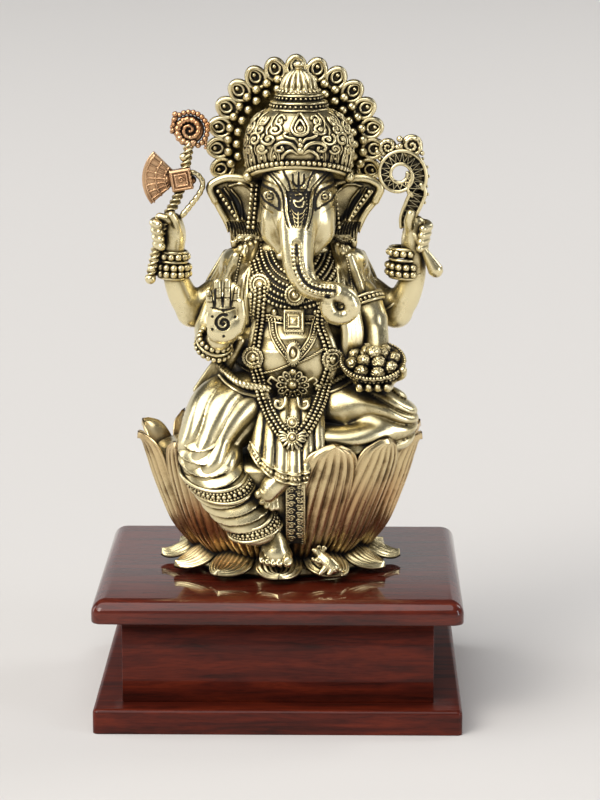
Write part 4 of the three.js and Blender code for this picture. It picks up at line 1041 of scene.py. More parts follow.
    # carved strip down the middle of the trunk
    strip, dark = clay.sheet(), clay.sheet()
    mid = [(c - 0.2, 201.5), (c + 0.2, 193), (c + 1.6, 186), (c + 5.6, 179.6), (c + 12, 176.6), (c + 22, 175.6)]
    strip.stroke(mid, 3.2, -0.6)
    dark.stroke(mid, 1.1, 0.95)
    dark.stroke(mid, 3.0, 0.35)
    line = spline(np.array(mid), 60)
    side = np.gradient(line, axis=0)
    side = np.stack([side[:, 1], -side[:, 0]], 1) / np.linalg.norm(side, axis=1)[:, None]
    rims = clay.sheet()
    for off in (-3.2, 3.2):
        rims.stroke(line + side * off, 0.45, 0.7)
    for off in (-1.75, 1.75):
        rims.dots(line[2:-2] + side[2:-2] * off, 2.3, 1.3, 1.2)
    for i in range(4, len(line) - 3, 3):
        for hand in (-1, 1):
            dark.stroke([line[i], line[i + 1] + side[i + 1] * hand * 2.2], 0.35, 0.9)
    dark.a *= np.clip(1 - 1.6 * rims.a, 0, 1)
    dark.ring((c + 25.0, 166.4), 1.2, 1.5, 1.0)
    dark.dot((c + 18.0, 172.4), 1.6, 1.0)
    clay.relief(strip.a + rims.a, (-70, -36))
    FRONT.add(clay)
    from_clay("trunk_brass", clay, SKIN, ["trunk"], patina_and_painted_shade=dark)


def ears():
    """Flared ears: a rolled upper rim, a hollow middle hung with beads and a ruffled lower lobe."""
    left = {"rim": [(-8, 229), (-15, 232), (-25, 234), (-34, 233.6), (-41.2, 229), (-38.4, 221), (-34.6, 214),
                    (-31, 207), (-28.4, 200), (-27, 193.6)],
            "lobe": [(-27, 193.6), (-22, 191.5), (-14, 193), (-8, 199)]}
    for word in ("left", "right"):
        def flip(p):
            x, z = p
            return (x, z) if word == "left" else (2 * 8.8 - x + (0.4 if z > 215 else -1.4), z)
        rim = [flip(p) for p in left["rim"]]
        lobe = [flip(p) for p in left["lobe"]]
        xs = [p[0] for p in rim]
        clay = Clay((min(xs) - 5, -16, 186), (max(xs) + 5, 14, 240), 0.46)
        centre = np.array([flip((-24, 216))])
        # the thin web of the ear
        def inside(x, z):
            poly = np.array(rim + lobe)
            hit = np.zeros(np.broadcast(x, z).shape, bool)
            j = len(poly) - 1
            for i in range(len(poly)):
                xi, zi, xj, zj = *poly[i], *poly[j]
                cross = ((zi > z) != (zj > z)) & (x < (xj - xi) * (z - zi) / (zj - zi + 1e-9) + xi)
                hit ^= cross
                j = i
            return hit
        X, Y, Z = clay.coords(tuple(slice(0, n) for n in clay.d.shape))
        web = np.where(inside(X[:, 0], Z[0]), -2.0, 2.0).astype(np.float32)
        for _ in range(6):
            web[1:-1, 1:-1] = (web[:-2, 1:-1] + web[2:, 1:-1] + web[1:-1, :-2] + web[1:-1, 2:] + web[1:-1, 1:-1]) / 5
        sag = 2.2 * np.exp(-(((X - centre[0, 0]) / 9) ** 2 + ((Z - 221) / 9) ** 2))
        slab = np.abs(Y + 1.0 - sag) - 2.2
        clay.d = np.minimum(clay.d, np.maximum(slab, web[:, None, :] * 1.2)).astype(np.float32)
        clay.limb([(x, -3.2, z, 2.6) for x, z in rim[:6]], 1.0)
        clay.limb([(x, -2.2, z, 2.2) for x, z in rim[5:]], 1.0)
        clay.limb([(*flip((-9, 0))[:1], -6, 229, 2.6), (*flip((-11.5, 0))[:1], -7, 215, 3.0),
                   (*flip((-13, 0))[:1], -7, 203, 3.0)], 1.5)
        mx = flip((-24.5, 0))[0]
        clay.ball((mx, -6.5, 222.5), (9.5, 5.0, 7.6), 0.8, cut=True, turn=25 if word == "left" else -25)
        for x0, y0, z0, x1, y1, z1 in ((-36, -4.4, 226.5, -24, -5.0, 209), (-13.5, -9, 230, -16, -8, 206)):
            clay.limb([(flip((x0, z0))[0], y0, z0, 1.3), (flip((x1, z1))[0], y1, z1, 1.5)], 0.6)
        hair = clay.sheet()
        for k in range(15):
            x0, z0 = -33 + 1.7 * k, 212.5 - 0.35 * k
            hair.stroke([flip((x0, z0)), flip((x0 + 2.6, z0 - 7)), flip((x0 + 3.0 + 0.1 * k, z0 - 15))], 0.6, -1.2)
        for k in range(10):
            hair.spiral(flip((-25 + 1.9 * k, 196.4 + 1.2 * math.sin(2.1 * k))), 1.7, 1.2, 0.45, 0.8)
        for dx in (0, 4.2):
            hair.stroke([flip((-33 + dx, 228 - 0.2 * dx)), flip((-28 + dx, 220)), flip((-24.5 + 0.6 * dx, 210))], 0.9,
                        1.5)
        hair.stroke([flip((-30, 229.5)), flip((-22, 230.5)), flip((-16, 226.5))], 1.1, 1.4)
        clay.relief(hair.a, (-14, 8))
        foot = [flip((-25.5, 196)), flip((-18, 193.6)), flip((-9, 196))]
        clay.limb([(x, 1.0, z, 2.6) for x, z in foot], 1.0)
        FRONT.add(clay)
        # painted shade darkening the ear's hollow middle and two bands inside it
        shade = clay.sheet()
        shade.dot((mx, 221.5), 7.0, 0.3)
        shade.stroke([flip((-29, 224)), flip((-24, 217)), flip((-20, 210))], 1.6, 0.7)
        shade.stroke([flip((-31, 206)), flip((-14, 204))], 1.8, 0.35)
        from_clay(f"ear_{word}_brass", clay, CARVED, [f"ear_{word}"], patina_and_painted_shade=shade, before=1)
        outer = [(*flip((-36.5 + 1.3 * k, 0))[:1], -6.0 - 0.1 * k, 226.5 - 1.85 * k) for k in range(10)]
        inner = [[(*flip((-13.2 + dx - 0.25 * k, 0))[:1], -11.0 + 0.1 * k,
                   231 - 2.5 * k) for k in range(11)] for dx in (0, -2.9)]
        beads_on(f"ear_{word}_beads", [outer, *inner], 2.7, 1.3, POLISHED, BIG_BEAD)


# ------------------------------------------------------------------ crown and halo

CROWN_AT = (11.2, -9.5)


CROWN_TILT = 0.40      # how steeply the lower rings rise over the forehead


def crown_point(angle, r, z):
    """A point on the crown's side at an angle from the front; the lower rings rise over the forehead."""
    x = CROWN_AT[0] + r * math.sin(angle)
    y = CROWN_AT[1] - 0.86 * r * math.cos(angle)
    lift = -(y + 6) * CROWN_TILT * max(0.0, 1 - max(z - 234, 0) / 34)
    return (x, y, z + lift)


def crown_radius(z):
    return float(np.interp(z, [232, 236, 242, 250, 257, 263, 269, 273, 276, 278],
                           [27.6, 28.6, 30.2, 31.0, 30.6, 29.2, 26.4, 23.0, 18.0, 15.0]))


def crown():
    """Domed crown: plain rim, beads, leaf points, scrolls and a front jewel, then two pierced rings and a bell top."""
    zs = np.array([233.0, 234, 236, 239, 243, 248, 253, 258, 262, 266, 269, 271.5, 273.5, 275.2, 276.6])
    around = 150
    angle = np.linspace(0, 2 * np.pi, around, endpoint=False)
    rows = []
    for z in np.concatenate([np.linspace(zs[i], zs[i + 1], 4, endpoint=False) for i in range(len(zs) - 1)] + [zs[-1:]]):
        rows.append([crown_point(a, crown_radius(z), z) for a in angle])
    pts = np.array(rows).reshape(-1, 3)
    n_rows = len(rows)
    top = [CROWN_AT[0], CROWN_AT[1], 277.6]
    foot = [CROWN_AT[0], CROWN_AT[1], 238]
    pts = np.vstack([pts, [top], [foot]])
    k = np.arange(around)
    caps = np.concatenate([
        np.stack([np.full(around, len(pts) - 2), (n_rows - 1) * around + k, (n_rows - 1) * around + (k + 1) % around],
                 -1),
        np.stack([np.full(around, len(pts) - 1), (k + 1) % around, k], -1)])
    faces = outward(pts, [caps, grid_faces(n_rows, around, wrap_cols=True)])
    parts = [(pts, faces)]

    def cord(line, r, sides=6):
        line = np.asarray(line, float)
        parts.append(tube_mesh(line, np.full(len(line), r), sides))

    def on_crown(points, lift=0.3):
        """(degrees from the front, z) pairs onto the dome."""
        q = spline(np.array(points, float), max(6, 5 * len(points)))
        return [crown_point(math.radians(a), crown_radius(z) + lift, z) for a, z in q]

    band = [crown_point(a, 29.4, 233.2) for a in np.linspace(-2.2, 2.2, 90)]
    cord(band, 1.35, 12)
    cord([crown_point(a, 29.9, 237.2) for a in np.linspace(-2.4, 2.4, 90)], 0.6)
    def front(dx, z):
        return (math.degrees(math.asin(dx / 29.5)), z)
    # pointed leaves above the beads
    for j in range(-9, 10):
        a0 = 17.5 * j
        if j == 0:
            continue
        a0 += 8 * np.sign(j)
        for s, h, r in ((5.0, 12.0, 0.8), (2.8, 8.2, 0.65)):
            leaf = [(a0 - s, 238.5), (a0 - s * 0.95, 238.5 + h * 0.5), (a0, 238.5 + h),
                    (a0 + s * 0.95, 238.5 + h * 0.5),
                    (a0 + s, 238.5)]
            cord(on_crown(leaf, 0.7), r, 6)
        parts.append(ball_mesh(crown_point(math.radians(a0), crown_radius(242) + 0.8, 242), 1.3))
    # front jewel: a ringed teardrop over a fleur-de-lis of curls
    for w, h, z, r, up in ((5.0, 7.2, 267.6, 1.05, 1.6), (2.9, 4.6, 267.0, 0.8, 2.2)):
        ring = []
        for k in np.linspace(0, 2 * math.pi, 33):
            ring.append(front(1.2 + w * math.sin(k) * (1 - 0.35 * max(0.0, -math.cos(k))), z - h * math.cos(k)))
        cord(on_crown(ring, up), r)
    parts.append(ball_mesh(crown_point(math.radians(2.4), crown_radius(266) + 2.6, 266), 2.0))
    for side in (-1, 1):
        for curl, r in (([(1.4, 247), (4.6, 252.5), (9.6, 254), (13.2, 250.6), (12.0, 246.8), (9.2, 247.4),
                          (9.6, 249.6)], 1.25),
                        ([(1.4, 244), (5.0, 246.6), (8.6, 243.6), (9.8, 240.4)], 1.1),
                        ([(0.9, 253), (2.8, 257), (6.4, 258.4), (9.0, 260.8), (7.6, 263.0)], 0.95)):
            cord(on_crown([front(1.2 + side * a, z) for a, z in curl], 1.5), r)
    for z, r in ((246.5, 2.4), (251.5, 1.9), (256.0, 1.5)):
        parts.append(ball_mesh(crown_point(math.radians(2.4), crown_radius(z) + 1.6, z), r))
    # leafy scrolls all over the dome
    for row, (z0, size, step, first) in enumerate(((257.0, 5.2, 21, 33), (264.6, 4.4, 22, 27), (270.6, 3.4, 26, 24),
                                                   (249.5, 4.0, 23, 42))):
        j = 0
        a0 = first
        while a0 < 181:
            for side in (-1, 1):
                hand = 1 if (j + row) % 2 else -1
                curl = []
                for k in np.linspace(0, 1, 20):
                    r = size * (1 - 0.84 * k)
                    turn = hand * k * 8.2 + 0.7 + row
                    curl.append((side * (a0 + r * 1.95 * math.cos(turn)), z0 + r * math.sin(turn)))
                cord(on_crown(curl, 0.8), 1.12, 6)
                parts.append(ball_mesh(crown_point(math.radians(side * a0), crown_radius(z0) + 0.6, z0), 1.3))
                sprig = [(side * (a0 + 9), z0 - 4), (side * (a0 + 11.5), z0), (side * (a0 + 9.5), z0 + 4)]
                cord(on_crown(sprig, 0.5), 0.7, 6)
            a0 += step
            j += 1
    beads = [crown_point(a, 30.6, 236.0) for a in np.linspace(-2.15, 2.15, 80)]
    row = along_lines("crown_rim_beads", [beads], BIG_BEAD, 3.1, 1.65, POLISHED)
    hand_over(row)
    parts.append(ball_mesh(crown_point(-1.25, 31.2, 232.0), 3.0))
    parts.append(ball_mesh(crown_point(1.25, 31.2, 232.0), 3.0))
    pts, faces = join_meshes(parts)
    hand_over(mesh_object("crown_dome_brass", pts, faces, CARVED), ["crown_dome"])

    x, y = CROWN_AT
    tiers = [(0, 275), (17.4, 275), (18.2, 275.6), (17.6, 276.6), (16.2, 277), (16.0, 279.2), (17.0, 279.8),
             (16.4, 280.6),
             (13.6, 281.2), (12.8, 281.6), (12.8, 283.6), (14.2, 284.0), (13.8, 284.8), (11.5, 285.4), (0, 285.4)]
    pts, faces = lathe_mesh(tiers, (x, y, 0), 96, 0.95)
    parts = [(pts, faces)]
    for r, z, count in ((16.6, 278.1, 34), (13.5, 282.6, 30)):
        for j in range(count):
            a = 2 * math.pi * j / count
            parts.append(ball_mesh((x + r * math.cos(a), y + 0.95 * r * math.sin(a), z), 0.95, 6, 8))
    pts, faces = join_meshes(parts)
    hand_over(mesh_object("crown_tiers_brass", pts, faces, CARVED), ["crown_tiers"])

    def ribs(profile, a):
        z = profile[:, 1:]
        strength = 0.20 * np.clip((z - 286.5) / 2, 0, 1) * np.clip((299 - z) / 3, 0, 1)
        return 1 - strength * (1 - np.abs(np.cos(8 * a)) ** 0.4) * 1.6
    bell = [(0, 285), (11.8, 285), (12.2, 286.2), (11.4, 287.2), (10.9, 288.5), (10.6, 290.5), (9.6, 293.2),
            (7.6, 296.0),
            (4.8, 298.3), (2.6, 299.3), (2.2, 300.0), (3.1, 301.2), (2.9, 302.6), (1.5, 303.7), (0, 304.0)]
    fine = spline(np.array(bell), 60)
    fine[0, 0] = fine[-1, 0] = 0
    pts, faces = lathe_mesh(fine, (x, y, 0), 144, 0.95, ribs)
    parts = [(pts, faces)]
    for j in range(26):
        a = 2 * math.pi * j / 26
        parts.append(ball_mesh((x + 12.0 * math.cos(a), y + 0.95 * 12.0 * math.sin(a), 286.6), 1.15, 6, 8))
    pts, faces = join_meshes(parts)
    hand_over(mesh_object("crown_finial_brass", pts, faces, POLISHED), ["crown_finial"])


def ball_mesh(at, r, rows=8, around=10):
    pts, faces = unit_ball(rows, around)
    return np.array(pts) * r + np.array(at), [np.asarray(f) for f in faces]


def feather_shape():
    """A peacock-feather eye facing +Z, pointing along +Y: rounded outer ridge, two inner ridges and a boss."""
    parts = []
    def loop(w, h, y0, z, r):
        t = np.linspace(0, 2 * np.pi, 33)
        x = w * np.sin(t)
        y = y0 - h * np.cos(t)
        x = x * (1 - 0.28 * np.clip(-(y - y0) / h, 0, 1) ** 1.5)
        line = np.stack([x, y, np.full_like(x, z)], 1)
        parts.append(tube_mesh(line, np.full(len(line), r), 8))
    dome = [(0, -0.9), (2.6, -0.8), (4.6, -0.4), (6.2, -0.5), (6.6, -1.8), (0, -2.2)]
    pts, faces = lathe_mesh(dome, (0, 0, 0), 28, 1.12)
    parts.append((pts, faces))
    loop(5.6, 6.3, 0.4, 0.7, 1.3)
    loop(3.0, 3.8, -0.9, 0.7, 0.85)
    parts.append(ball_mesh((0, -1.7, 0.6), 1.45, 6, 8))
    pts, faces = join_meshes(parts)
    pts = pts * [-1, -1, 1]
    return pattern_mesh("feather_pattern", pts, faces)


HALO_CENTRE = (9.0, 252.0)      # x and z of the halo's arcs, mm


def arc_line(radius, from_deg, to_deg, y, count=120):
    """Points on a circle in the picture plane, angles from +X."""
    a = np.radians(np.linspace(from_deg, to_deg, count))
    return [(HALO_CENTRE[0] + radius * math.cos(t), y, HALO_CENTRE[1] + radius * math.sin(t)) for t in a]


def halo():
    """Horseshoe of fifteen peacock feathers on a plate, with two staggered rows of ball beads inside."""
    r = 47.5
    outline = [(9 + r * math.cos(a), 252 + r * math.sin(a)) for a in np.radians(np.linspace(-24, 204, 90))]
    front = np.array([(x, 15.2, z) for x, z in outline])
    back = np.array([(x, 19.8, z) for x, z in outline])
    n = len(outline)
    pts = np.vstack([front, back, [(9, 15.2, 250)], [(9, 19.8, 250)]])
    k = np.arange(n)
    j = (k + 1) % n
    side = np.stack([k, j, j + n, k + n], -1)
    caps = np.concatenate([np.stack([np.full(n, 2 * n), k, j], -1),
                           np.stack([np.full(n, 2 * n + 1), j + n, k + n], -1)])
    faces = outward(pts, [caps, side])
    parts = [(pts, faces)]
    # backs of the feathers: a plain ridge behind each one
    for i in range(15):
        a = math.radians(197.5 - 15.36 * i)
        tip = (9 + 49 * math.cos(a), 19.6, 252 + 49 * math.sin(a))
        root = (9 + 30 * math.cos(a), 19.9, 252 + 30 * math.sin(a))
        parts.append(tube_mesh(np.linspace(root, tip, 8), np.linspace(1.2, 1.9, 8), 8))
    pts, faces = join_meshes(parts)
    hand_over(mesh_object("halo_plate_brass", pts, faces, CARVED), ["halo_plate"])
    # feathers stand square to the arc, so the pattern's Y follows the radius
    arc = arc_line(46.4, 198.0, -18.4, 14.0, 300)
    length = math.radians(216.4) * 46.4
    ob = along_lines("halo_feathers", [arc], feather_shape(), length / 14.02, 1.0, POLISHED)
    hand_over(ob)
    outer = arc_line(40.2, 196, -16, 12.6, 200)
    inner = arc_line(34.9, 191, -11, 12.0, 200)
    hand_over(along_lines("halo_beads", [outer, inner], BALL, 6.95, 2.8, POLISHED))


# ------------------------------------------------------------------ what the raised hands hold


def axe():
    """Twisted staff with a fan-shaped blade, a square boss, a spiral finial and a small hook."""
    staff = spline([(-76.8, -8, 175.5), (-75, -8, 184), (-72.5, -8, 196), (-68.5, -7, 208), (-61.5, -4, 221),
                    (-58.3, -3, 231), (-55.5, -3, 243), (-53.8, -3, 254)], 150)
    def twist(t, a):
        return 1 + 0.30 * np.cos(3 * (a + 52 * t))
    pts, faces = tube_mesh(staff, np.full(150, 2.5), 20, twist)
    parts = [(pts, faces)]
    for at, r in (((-76.9, -8.2, 174.6), 3.3), ((-75.9, -8.4, 180.6), 2.7), ((-74.6, -8.4, 186.2), 2.2),
                  ((-56.8, -4, 246.6), 2.6)):
        parts.append(ball_mesh(at, r, 10, 14))
    hook = spline([(-55, -5, 238.5), (-49, -5, 236.5), (-45.6, -5, 231.5), (-47.4, -5, 225.5), (-53, -5, 218),
                   (-58, -6, 212)], 50)
    parts.append(tube_mesh(hook, np.linspace(1.5, 1.8, 50), 10, lambda t, a: 1 + 0.10 * np.cos(60 * t)))
    pts, faces = join_meshes(parts)
    hand_over(mesh_object("axe_shaft_brass", pts, faces, POLISHED), ["axe_shaft"])

    clay = Clay((-88, -10, 214), (-44, 6, 256), 0.35)
    X, Y, Z = clay.coords(tuple(slice(0, n) for n in clay.d.shape))
    cx, cz = -58.5, 233.5
    r = np.hypot(X - cx, (Z - cz))
    ang = np.degrees(np.arctan2(Z - cz - 0.5, -(X - cx)))
    fan = np.maximum(r - 23.0, np.maximum(6.5 - r, (np.abs(ang - 2) - 43) * 0.35))
    d = np.maximum(fan, np.abs(Y + 3) - 2.0)
    clay.d = np.minimum(clay.d, d).astype(np.float32)
    face = clay.sheet()
    for k in range(7):
        a = math.radians(180 - 2 + (-36 + 12 * k))
        face.stroke([(cx + 8 * math.cos(a), cz + 8 * math.sin(a)), (cx + 20 * math.cos(a), cz + 20 * math.sin(a))],
                    0.42, 0.6)
    for rr in (9.5, 15.0, 20.8):
        face.stroke([(cx + rr * math.cos(math.radians(a)), cz + rr * math.sin(math.radians(a)))
                     for a in np.linspace(138, 222, 12)], 0.5, 0.7)
    clay.relief(face.a, (-8, -2))
    clay.limb([(-66, -3, 234, 2.6), (-52, -3, 233, 2.6)], 1)
    box = np.maximum(np.maximum(np.abs((X + 58.2) * 0.985 + (Z - 233.4) * 0.17) - 6.3,
                                np.abs(-(X + 58.2) * 0.17 + (Z - 233.4) * 0.985) - 6.3), np.abs(Y + 4) - 4.2)
    clay.d = np.minimum(clay.d, box).astype(np.float32)
    gem = clay.sheet()
    def square(s):
        out = []
        for ux, uz in ((-s, -s), (s, -s), (s, s), (-s, s), (-s, -s)):
            out.append((-58.2 + 0.985 * ux - 0.17 * uz, 233.4 + 0.17 * ux + 0.985 * uz))
        return out
    for s, h in ((5.2, 0.7), (3.4, 0.7)):
        q = square(s)
        for a, b in zip(q[:-1], q[1:]):
            gem.stroke([a, b], 0.6, h)
    gem.spiral((-58.2, 233.4), 1.9, 1.2, 0.5, 0.7)
    clay.relief(gem.a, (-12, -7))
    from_clay("axe_head_brass", clay, BLUSH, ["axe_head"])

    # spiral finial with a crest of beads
    cx, cz = -53.2, 262.6
    coil = []
    for t in np.linspace(0, 1, 90):
        rr = 7.6 * (1 - t) ** 0.9 + 0.4
        a = math.radians(-70 - 740 * t)
        coil.append((cx + rr * math.cos(a), -3 - 2.0 * t, cz + rr * math.sin(a)))
    stem = [(-54.5, -3, 248), (-54, -3, 252), (-50.4, -3, 255.4)]
    line = spline(np.array([*stem, *coil[::3]]), 160)
    radius = np.interp(np.linspace(0, 1, 160), [0, 0.12, 0.3, 0.7, 1], [2.0, 2.2, 2.5, 1.5, 0.8])
    parts = [tube_mesh(line, radius, 12, lambda t, a: 1 + 0.13 * np.cos(150 * t))]
    disc, dfaces = lathe_mesh([(0, 1.2), (7.5, 1.2), (8.6, 0), (7.5, -1.2), (0, -1.2)], (0, 0, 0), 40)
    disc = disc[:, [0, 2, 1]] + np.array([cx, -2.2, cz])
    parts.append((disc, outward(disc, dfaces)))
    for k in range(17):
        a = math.radians(-62 + 15.5 * k)
        parts.append(ball_mesh((cx + 10.4 * math.cos(a), -3, cz + 10.4 * math.sin(a)), 1.75 if k < 13 else 1.4))
    for k in range(4):
        parts.append(ball_mesh((-62.8 + 0.4 * k, -3, 262.4 + 3.1 * k), 1.9))
    for k in range(9):
        t = k / 8
        parts.append(ball_mesh((-42.6 - 1.4 * t, -3, 266 - 14 * t), 1.5 - 0.5 * t))
    pts, faces = join_meshes(parts)
    hand_over(mesh_object("axe_scroll_brass", pts, faces, BLUSH), ["axe_scroll"])


def noose():
    """Flat spiral band with zigzag tracery between raised edges, two small scrolls on top and a flared tail."""
    cx, cz = 70.6, 236.6
    centre_line = []
    for t in np.linspace(0, 1, 80):
        rr = 12.4 - 6.6 * t ** 0.9
        a = math.radians(-42 + 430 * t)
        centre_line.append((cx + rr * math.cos(a) * 0.98, cz + rr * math.sin(a), 3.9 * (1 - t) ** 0.5 + 0.7))
    neck = [(74.6, 205, 3.2), (75.4, 211, 4.0), (78.8, 219, 4.6), (81.6, 226, 4.5)]
    line = np.array([*neck, *centre_line[::4]])
    q = spline(line, 170)
    tangent = np.gradient(q[:, :2], axis=0)
    tangent /= np.linalg.norm(tangent, axis=1)[:, None]
    side = np.stack([tangent[:, 1], -tangent[:, 0]], 1)
    parts = []
    for s in (-1, 1):
        edge = q[:, :2] + side * (q[:, 2:] - 0.2) * s
        parts.append(tube_mesh(np.stack([edge[:, 0], np.full(len(q), -4.6), edge[:, 1]], 1), np.full(len(q), 1.15), 8))
    zig = []
    for i in range(0, len(q), 3):
        s = 1 if (i // 3) % 2 else -1
        p = q[i, :2] + side[i] * (q[i, 2] - 1.2) * s
        zig.append((p[0], -4.9, p[1]))
    parts.append(tube_mesh(np.array(zig), np.full(len(zig), 0.62), 6))
    # the flat band itself
    n = len(q)
    a1 = q[:, :2] + side * q[:, 2:]
    a2 = q[:, :2] - side * q[:, 2:]
    ring = np.stack([np.stack([a1[:, 0], np.full(n, -3.8), a1[:, 1]], 1),
                     np.stack([a2[:, 0], np.full(n, -3.8), a2[:, 1]], 1),
                     np.stack([a2[:, 0], np.full(n, -0.6), a2[:, 1]], 1),
                     np.stack([a1[:, 0], np.full(n, -0.6), a1[:, 1]], 1)], 1)
    pts = ring.reshape(-1, 3)
    faces = grid_faces(n, 4, wrap_cols=True)
    ends = np.array([[0, 1, 2, 3], [4 * n - 1, 4 * n - 2, 4 * n - 3, 4 * n - 4]])
    parts.append((pts, outward(pts, [np.concatenate([faces, ends])])))
    for i in range(34, 150, 7):
        p = q[i, :2] + side[i] * (q[i, 2] + 1.2)
        if np.hypot(p[0] - cx, p[1] - cz) > 14:
            parts.append(ball_mesh((p[0], -2.6, p[1]), 1.0, 6, 8))
    for sx, sz, size, hand in ((63.6, 252.6, 5.0, -1), (77.6, 253.6, 6.2, 1)):
        coil = []
        for t in np.linspace(0, 1, 60):
            rr = size * (1 - t) + 0.5
            a = math.radians(-90 + hand * (-90 + 700 * t))
            coil.append((sx + rr * math.cos(a), -3 - 1.2 * t, sz + rr * math.sin(a)))
        parts.append(tube_mesh(np.array(coil), np.linspace(1.6, 0.8, 60), 8, lambda t, a: 1 + 0.2 * np.cos(110 * t)))
        disc, dfaces = lathe_mesh([(0, 1), (size - 0.5, 1), (size + 0.4, 0), (size - 0.5, -1), (0, -1)], (0, 0, 0), 30)
        disc = disc[:, [0, 2, 1]] + np.array([sx, -2.2, sz])
        parts.append((disc, outward(disc, dfaces)))
    for at, r in (((70.6, -3, 257.4), 2.0), ((70.4, -3, 250.6), 1.9), ((57.5, -3, 249.5), 1.7),
                  ((59.2, -3, 245.6), 1.5),
                  ((83.8, -3, 249.0), 1.5), ((66.8, -3, 247.9), 1.8), ((74.4, -3, 247.6), 1.6)):
        parts.append(ball_mesh(at, r))
    tail = spline([(77.5, -6, 203.5), (82, -8, 198), (87.5, -9, 188.5), (92.2, -9, 180.4)], 30)
    parts.append(tube_mesh(tail, np.interp(np.linspace(0, 1, 30), [0, 0.6, 1], [2.2, 2.4, 4.6]), 16))
    pts, faces = join_meshes(parts)
    hand_over(mesh_object("noose_brass", pts, faces, POLISHED), ["noose"])


# ------------------------------------------------------------------ ornaments laid on the figure


def on_front(parts, x, z, lift=0.3, reach=3.0):
    """Parts drawn as (across, up, towards the viewer) around 0, put on the front of the body at x, z."""
    y0 = float(np.median([FRONT.at(x + a, z + b) for a in (-1, 0, 1) for b in (-1, 0, 1)]))
    sx = float(np.clip((FRONT.at(x + reach, z) - FRONT.at(x - reach, z)) / (2 * reach), -0.35, 0.35))
    sz = float(np.clip((FRONT.at(x, z + reach) - FRONT.at(x, z - reach)) / (2 * reach), -0.3, 0.3))
    out = []
    for pts, faces in parts:
        p = np.asarray(pts, float)
        put = np.stack([x + p[:, 0], y0 - lift - p[:, 2] + sx * p[:, 0] + sz * p[:, 1], z + p[:, 1]], 1)
        out.append((put, outward(put, faces)))
    return out


def disc(profile, around=48, squash=1.0, shape=None):
    return lathe_mesh(profile, (0, 0, 0), around, squash, shape)


def toothed(count, depth, beyond):
    def shape(profile, a):
        return 1 + depth * np.cos(count * a)[None, :] * (profile[:, :1] > beyond)
    return shape


def squared(profile, a):
    return np.ones((len(profile), 1)) / np.maximum(np.abs(np.cos(a)), np.abs(np.sin(a)))[None, :]


def rosette(r=6.2):
    """Toothed disc with a ringed boss and a circle of beads."""
    k = r / 6.2
    profile = [(0, 2.1), (1.2, 2.0), (2.0, 1.3), (2.3, 0.4), (2.9, 0.5), (3.3, 1.2), (3.8, 1.2), (4.2, 0.5), (4.7, 0.6),
               (5.4, 1.0), (6.1, 0.6), (6.2, -0.4), (0, -1.0)]
    parts = [disc([(a * k, b * k) for a, b in profile], 80, 1.0, toothed(20, 0.055, 4.5 * k))]
    for j in range(20):
        a = 2 * math.pi * j / 20
        parts.append(ball_mesh((5.0 * k * math.cos(a), 5.0 * k * math.sin(a), 0.9 * k), 0.55 * k, 4, 6))
    return parts


def offset(line, d):
    """The x, z line moved sideways by d."""
    p = spline(np.asarray(line, float), 40)
    t = np.gradient(p, axis=0)
    t /= np.linalg.norm(t, axis=1)[:, None]
    return p + np.stack([t[:, 1], -t[:, 0]], 1) * d


def ribbon(path, half, thick):
    """Flat strap along an (x, y, z) path, wide in the picture plane."""
    q = np.asarray(path, float)
    t = np.gradient(q[:, [0, 2]], axis=0)
    t /= np.linalg.norm(t, axis=1)[:, None] + 1e-9
    side = np.stack([t[:, 1], np.zeros(len(q)), -t[:, 0]], 1)
    up = np.array([0, -thick / 2, 0])
    pts = np.concatenate([q + side * half + up, q - side * half + up, q - side * half - up, q + side * half - up])
    n = len(q)
    k = np.arange(n - 1)
    quads = [np.stack([a * n + k, b * n + k, b * n + k + 1, a * n + k + 1], -1)
             for a, b in ((0, 1), (1, 2), (2, 3), (3, 0))]
    ends = np.array([[0, n, 2 * n, 3 * n], [n - 1, 4 * n - 1, 3 * n - 1, 2 * n - 1]])
    return pts, outward(pts, [np.concatenate([*quads, ends[:, ::-1]])])


def loop_about(at, axis, radius, n=48):
    """A closed ring of points round an axis."""
    axis = Vector(axis).normalized()
    u = axis.orthogonal().normalized() if abs(axis.z) > 0.99 else axis.cross(Vector((0, 0, 1))).normalized()
    v = axis.cross(u)
    at = Vector(at)
    return [tuple(at + (u * math.cos(a) + v * math.sin(a)) * radius)
            for a in np.linspace(0, 2 * math.pi, n)]


def beads_on(name, lines, spacing, r, mat=None, shape=None):
    hand_over(along_lines(name, lines, shape or BEAD, spacing, r, mat or POLISHED))


def rope(path, r, strands=3, turns_per_mm=0.16, sides=6):
    """Twisted cord: strands wound round a path."""
    length = np.linalg.norm(np.diff(np.asarray(path, float), axis=0), axis=1).sum()
    q = spline(np.asarray(path, float), max(8, int(length / 0.7)))
    t = np.gradient(q, axis=0)
    t /= np.linalg.norm(t, axis=1)[:, None]
    a = np.cross(t, [0, 1, 0])
    a /= np.linalg.norm(a, axis=1)[:, None] + 1e-9
    b = np.cross(t, a)
    turn = np.linspace(0, length * turns_per_mm * 2 * np.pi, len(q))
    parts = []
    for k in range(strands):
        phase = turn + 2 * np.pi * k / strands
        p = q + (a * np.cos(phase)[:, None] + b * np.sin(phase)[:, None]) * r * 0.5
        parts.append(tube_mesh(p, np.full(len(q), r * 0.56), sides))
    return parts


def coil(at, radius, turns, width, start, hand=1):
    """A flat spiral wire, drawn as (across, up, towards the viewer)."""
    t = np.linspace(0, 1, int(18 * turns))
    r = radius * (1 - t) + 0.3
    a = start + hand * t * turns * 2 * np.pi
    line = np.stack([at[0] + r * np.cos(a), at[1] + r * np.sin(a), 0.4 + 0.5 * t], 1)
    return tube_mesh(line, np.full(len(line), width), 6)


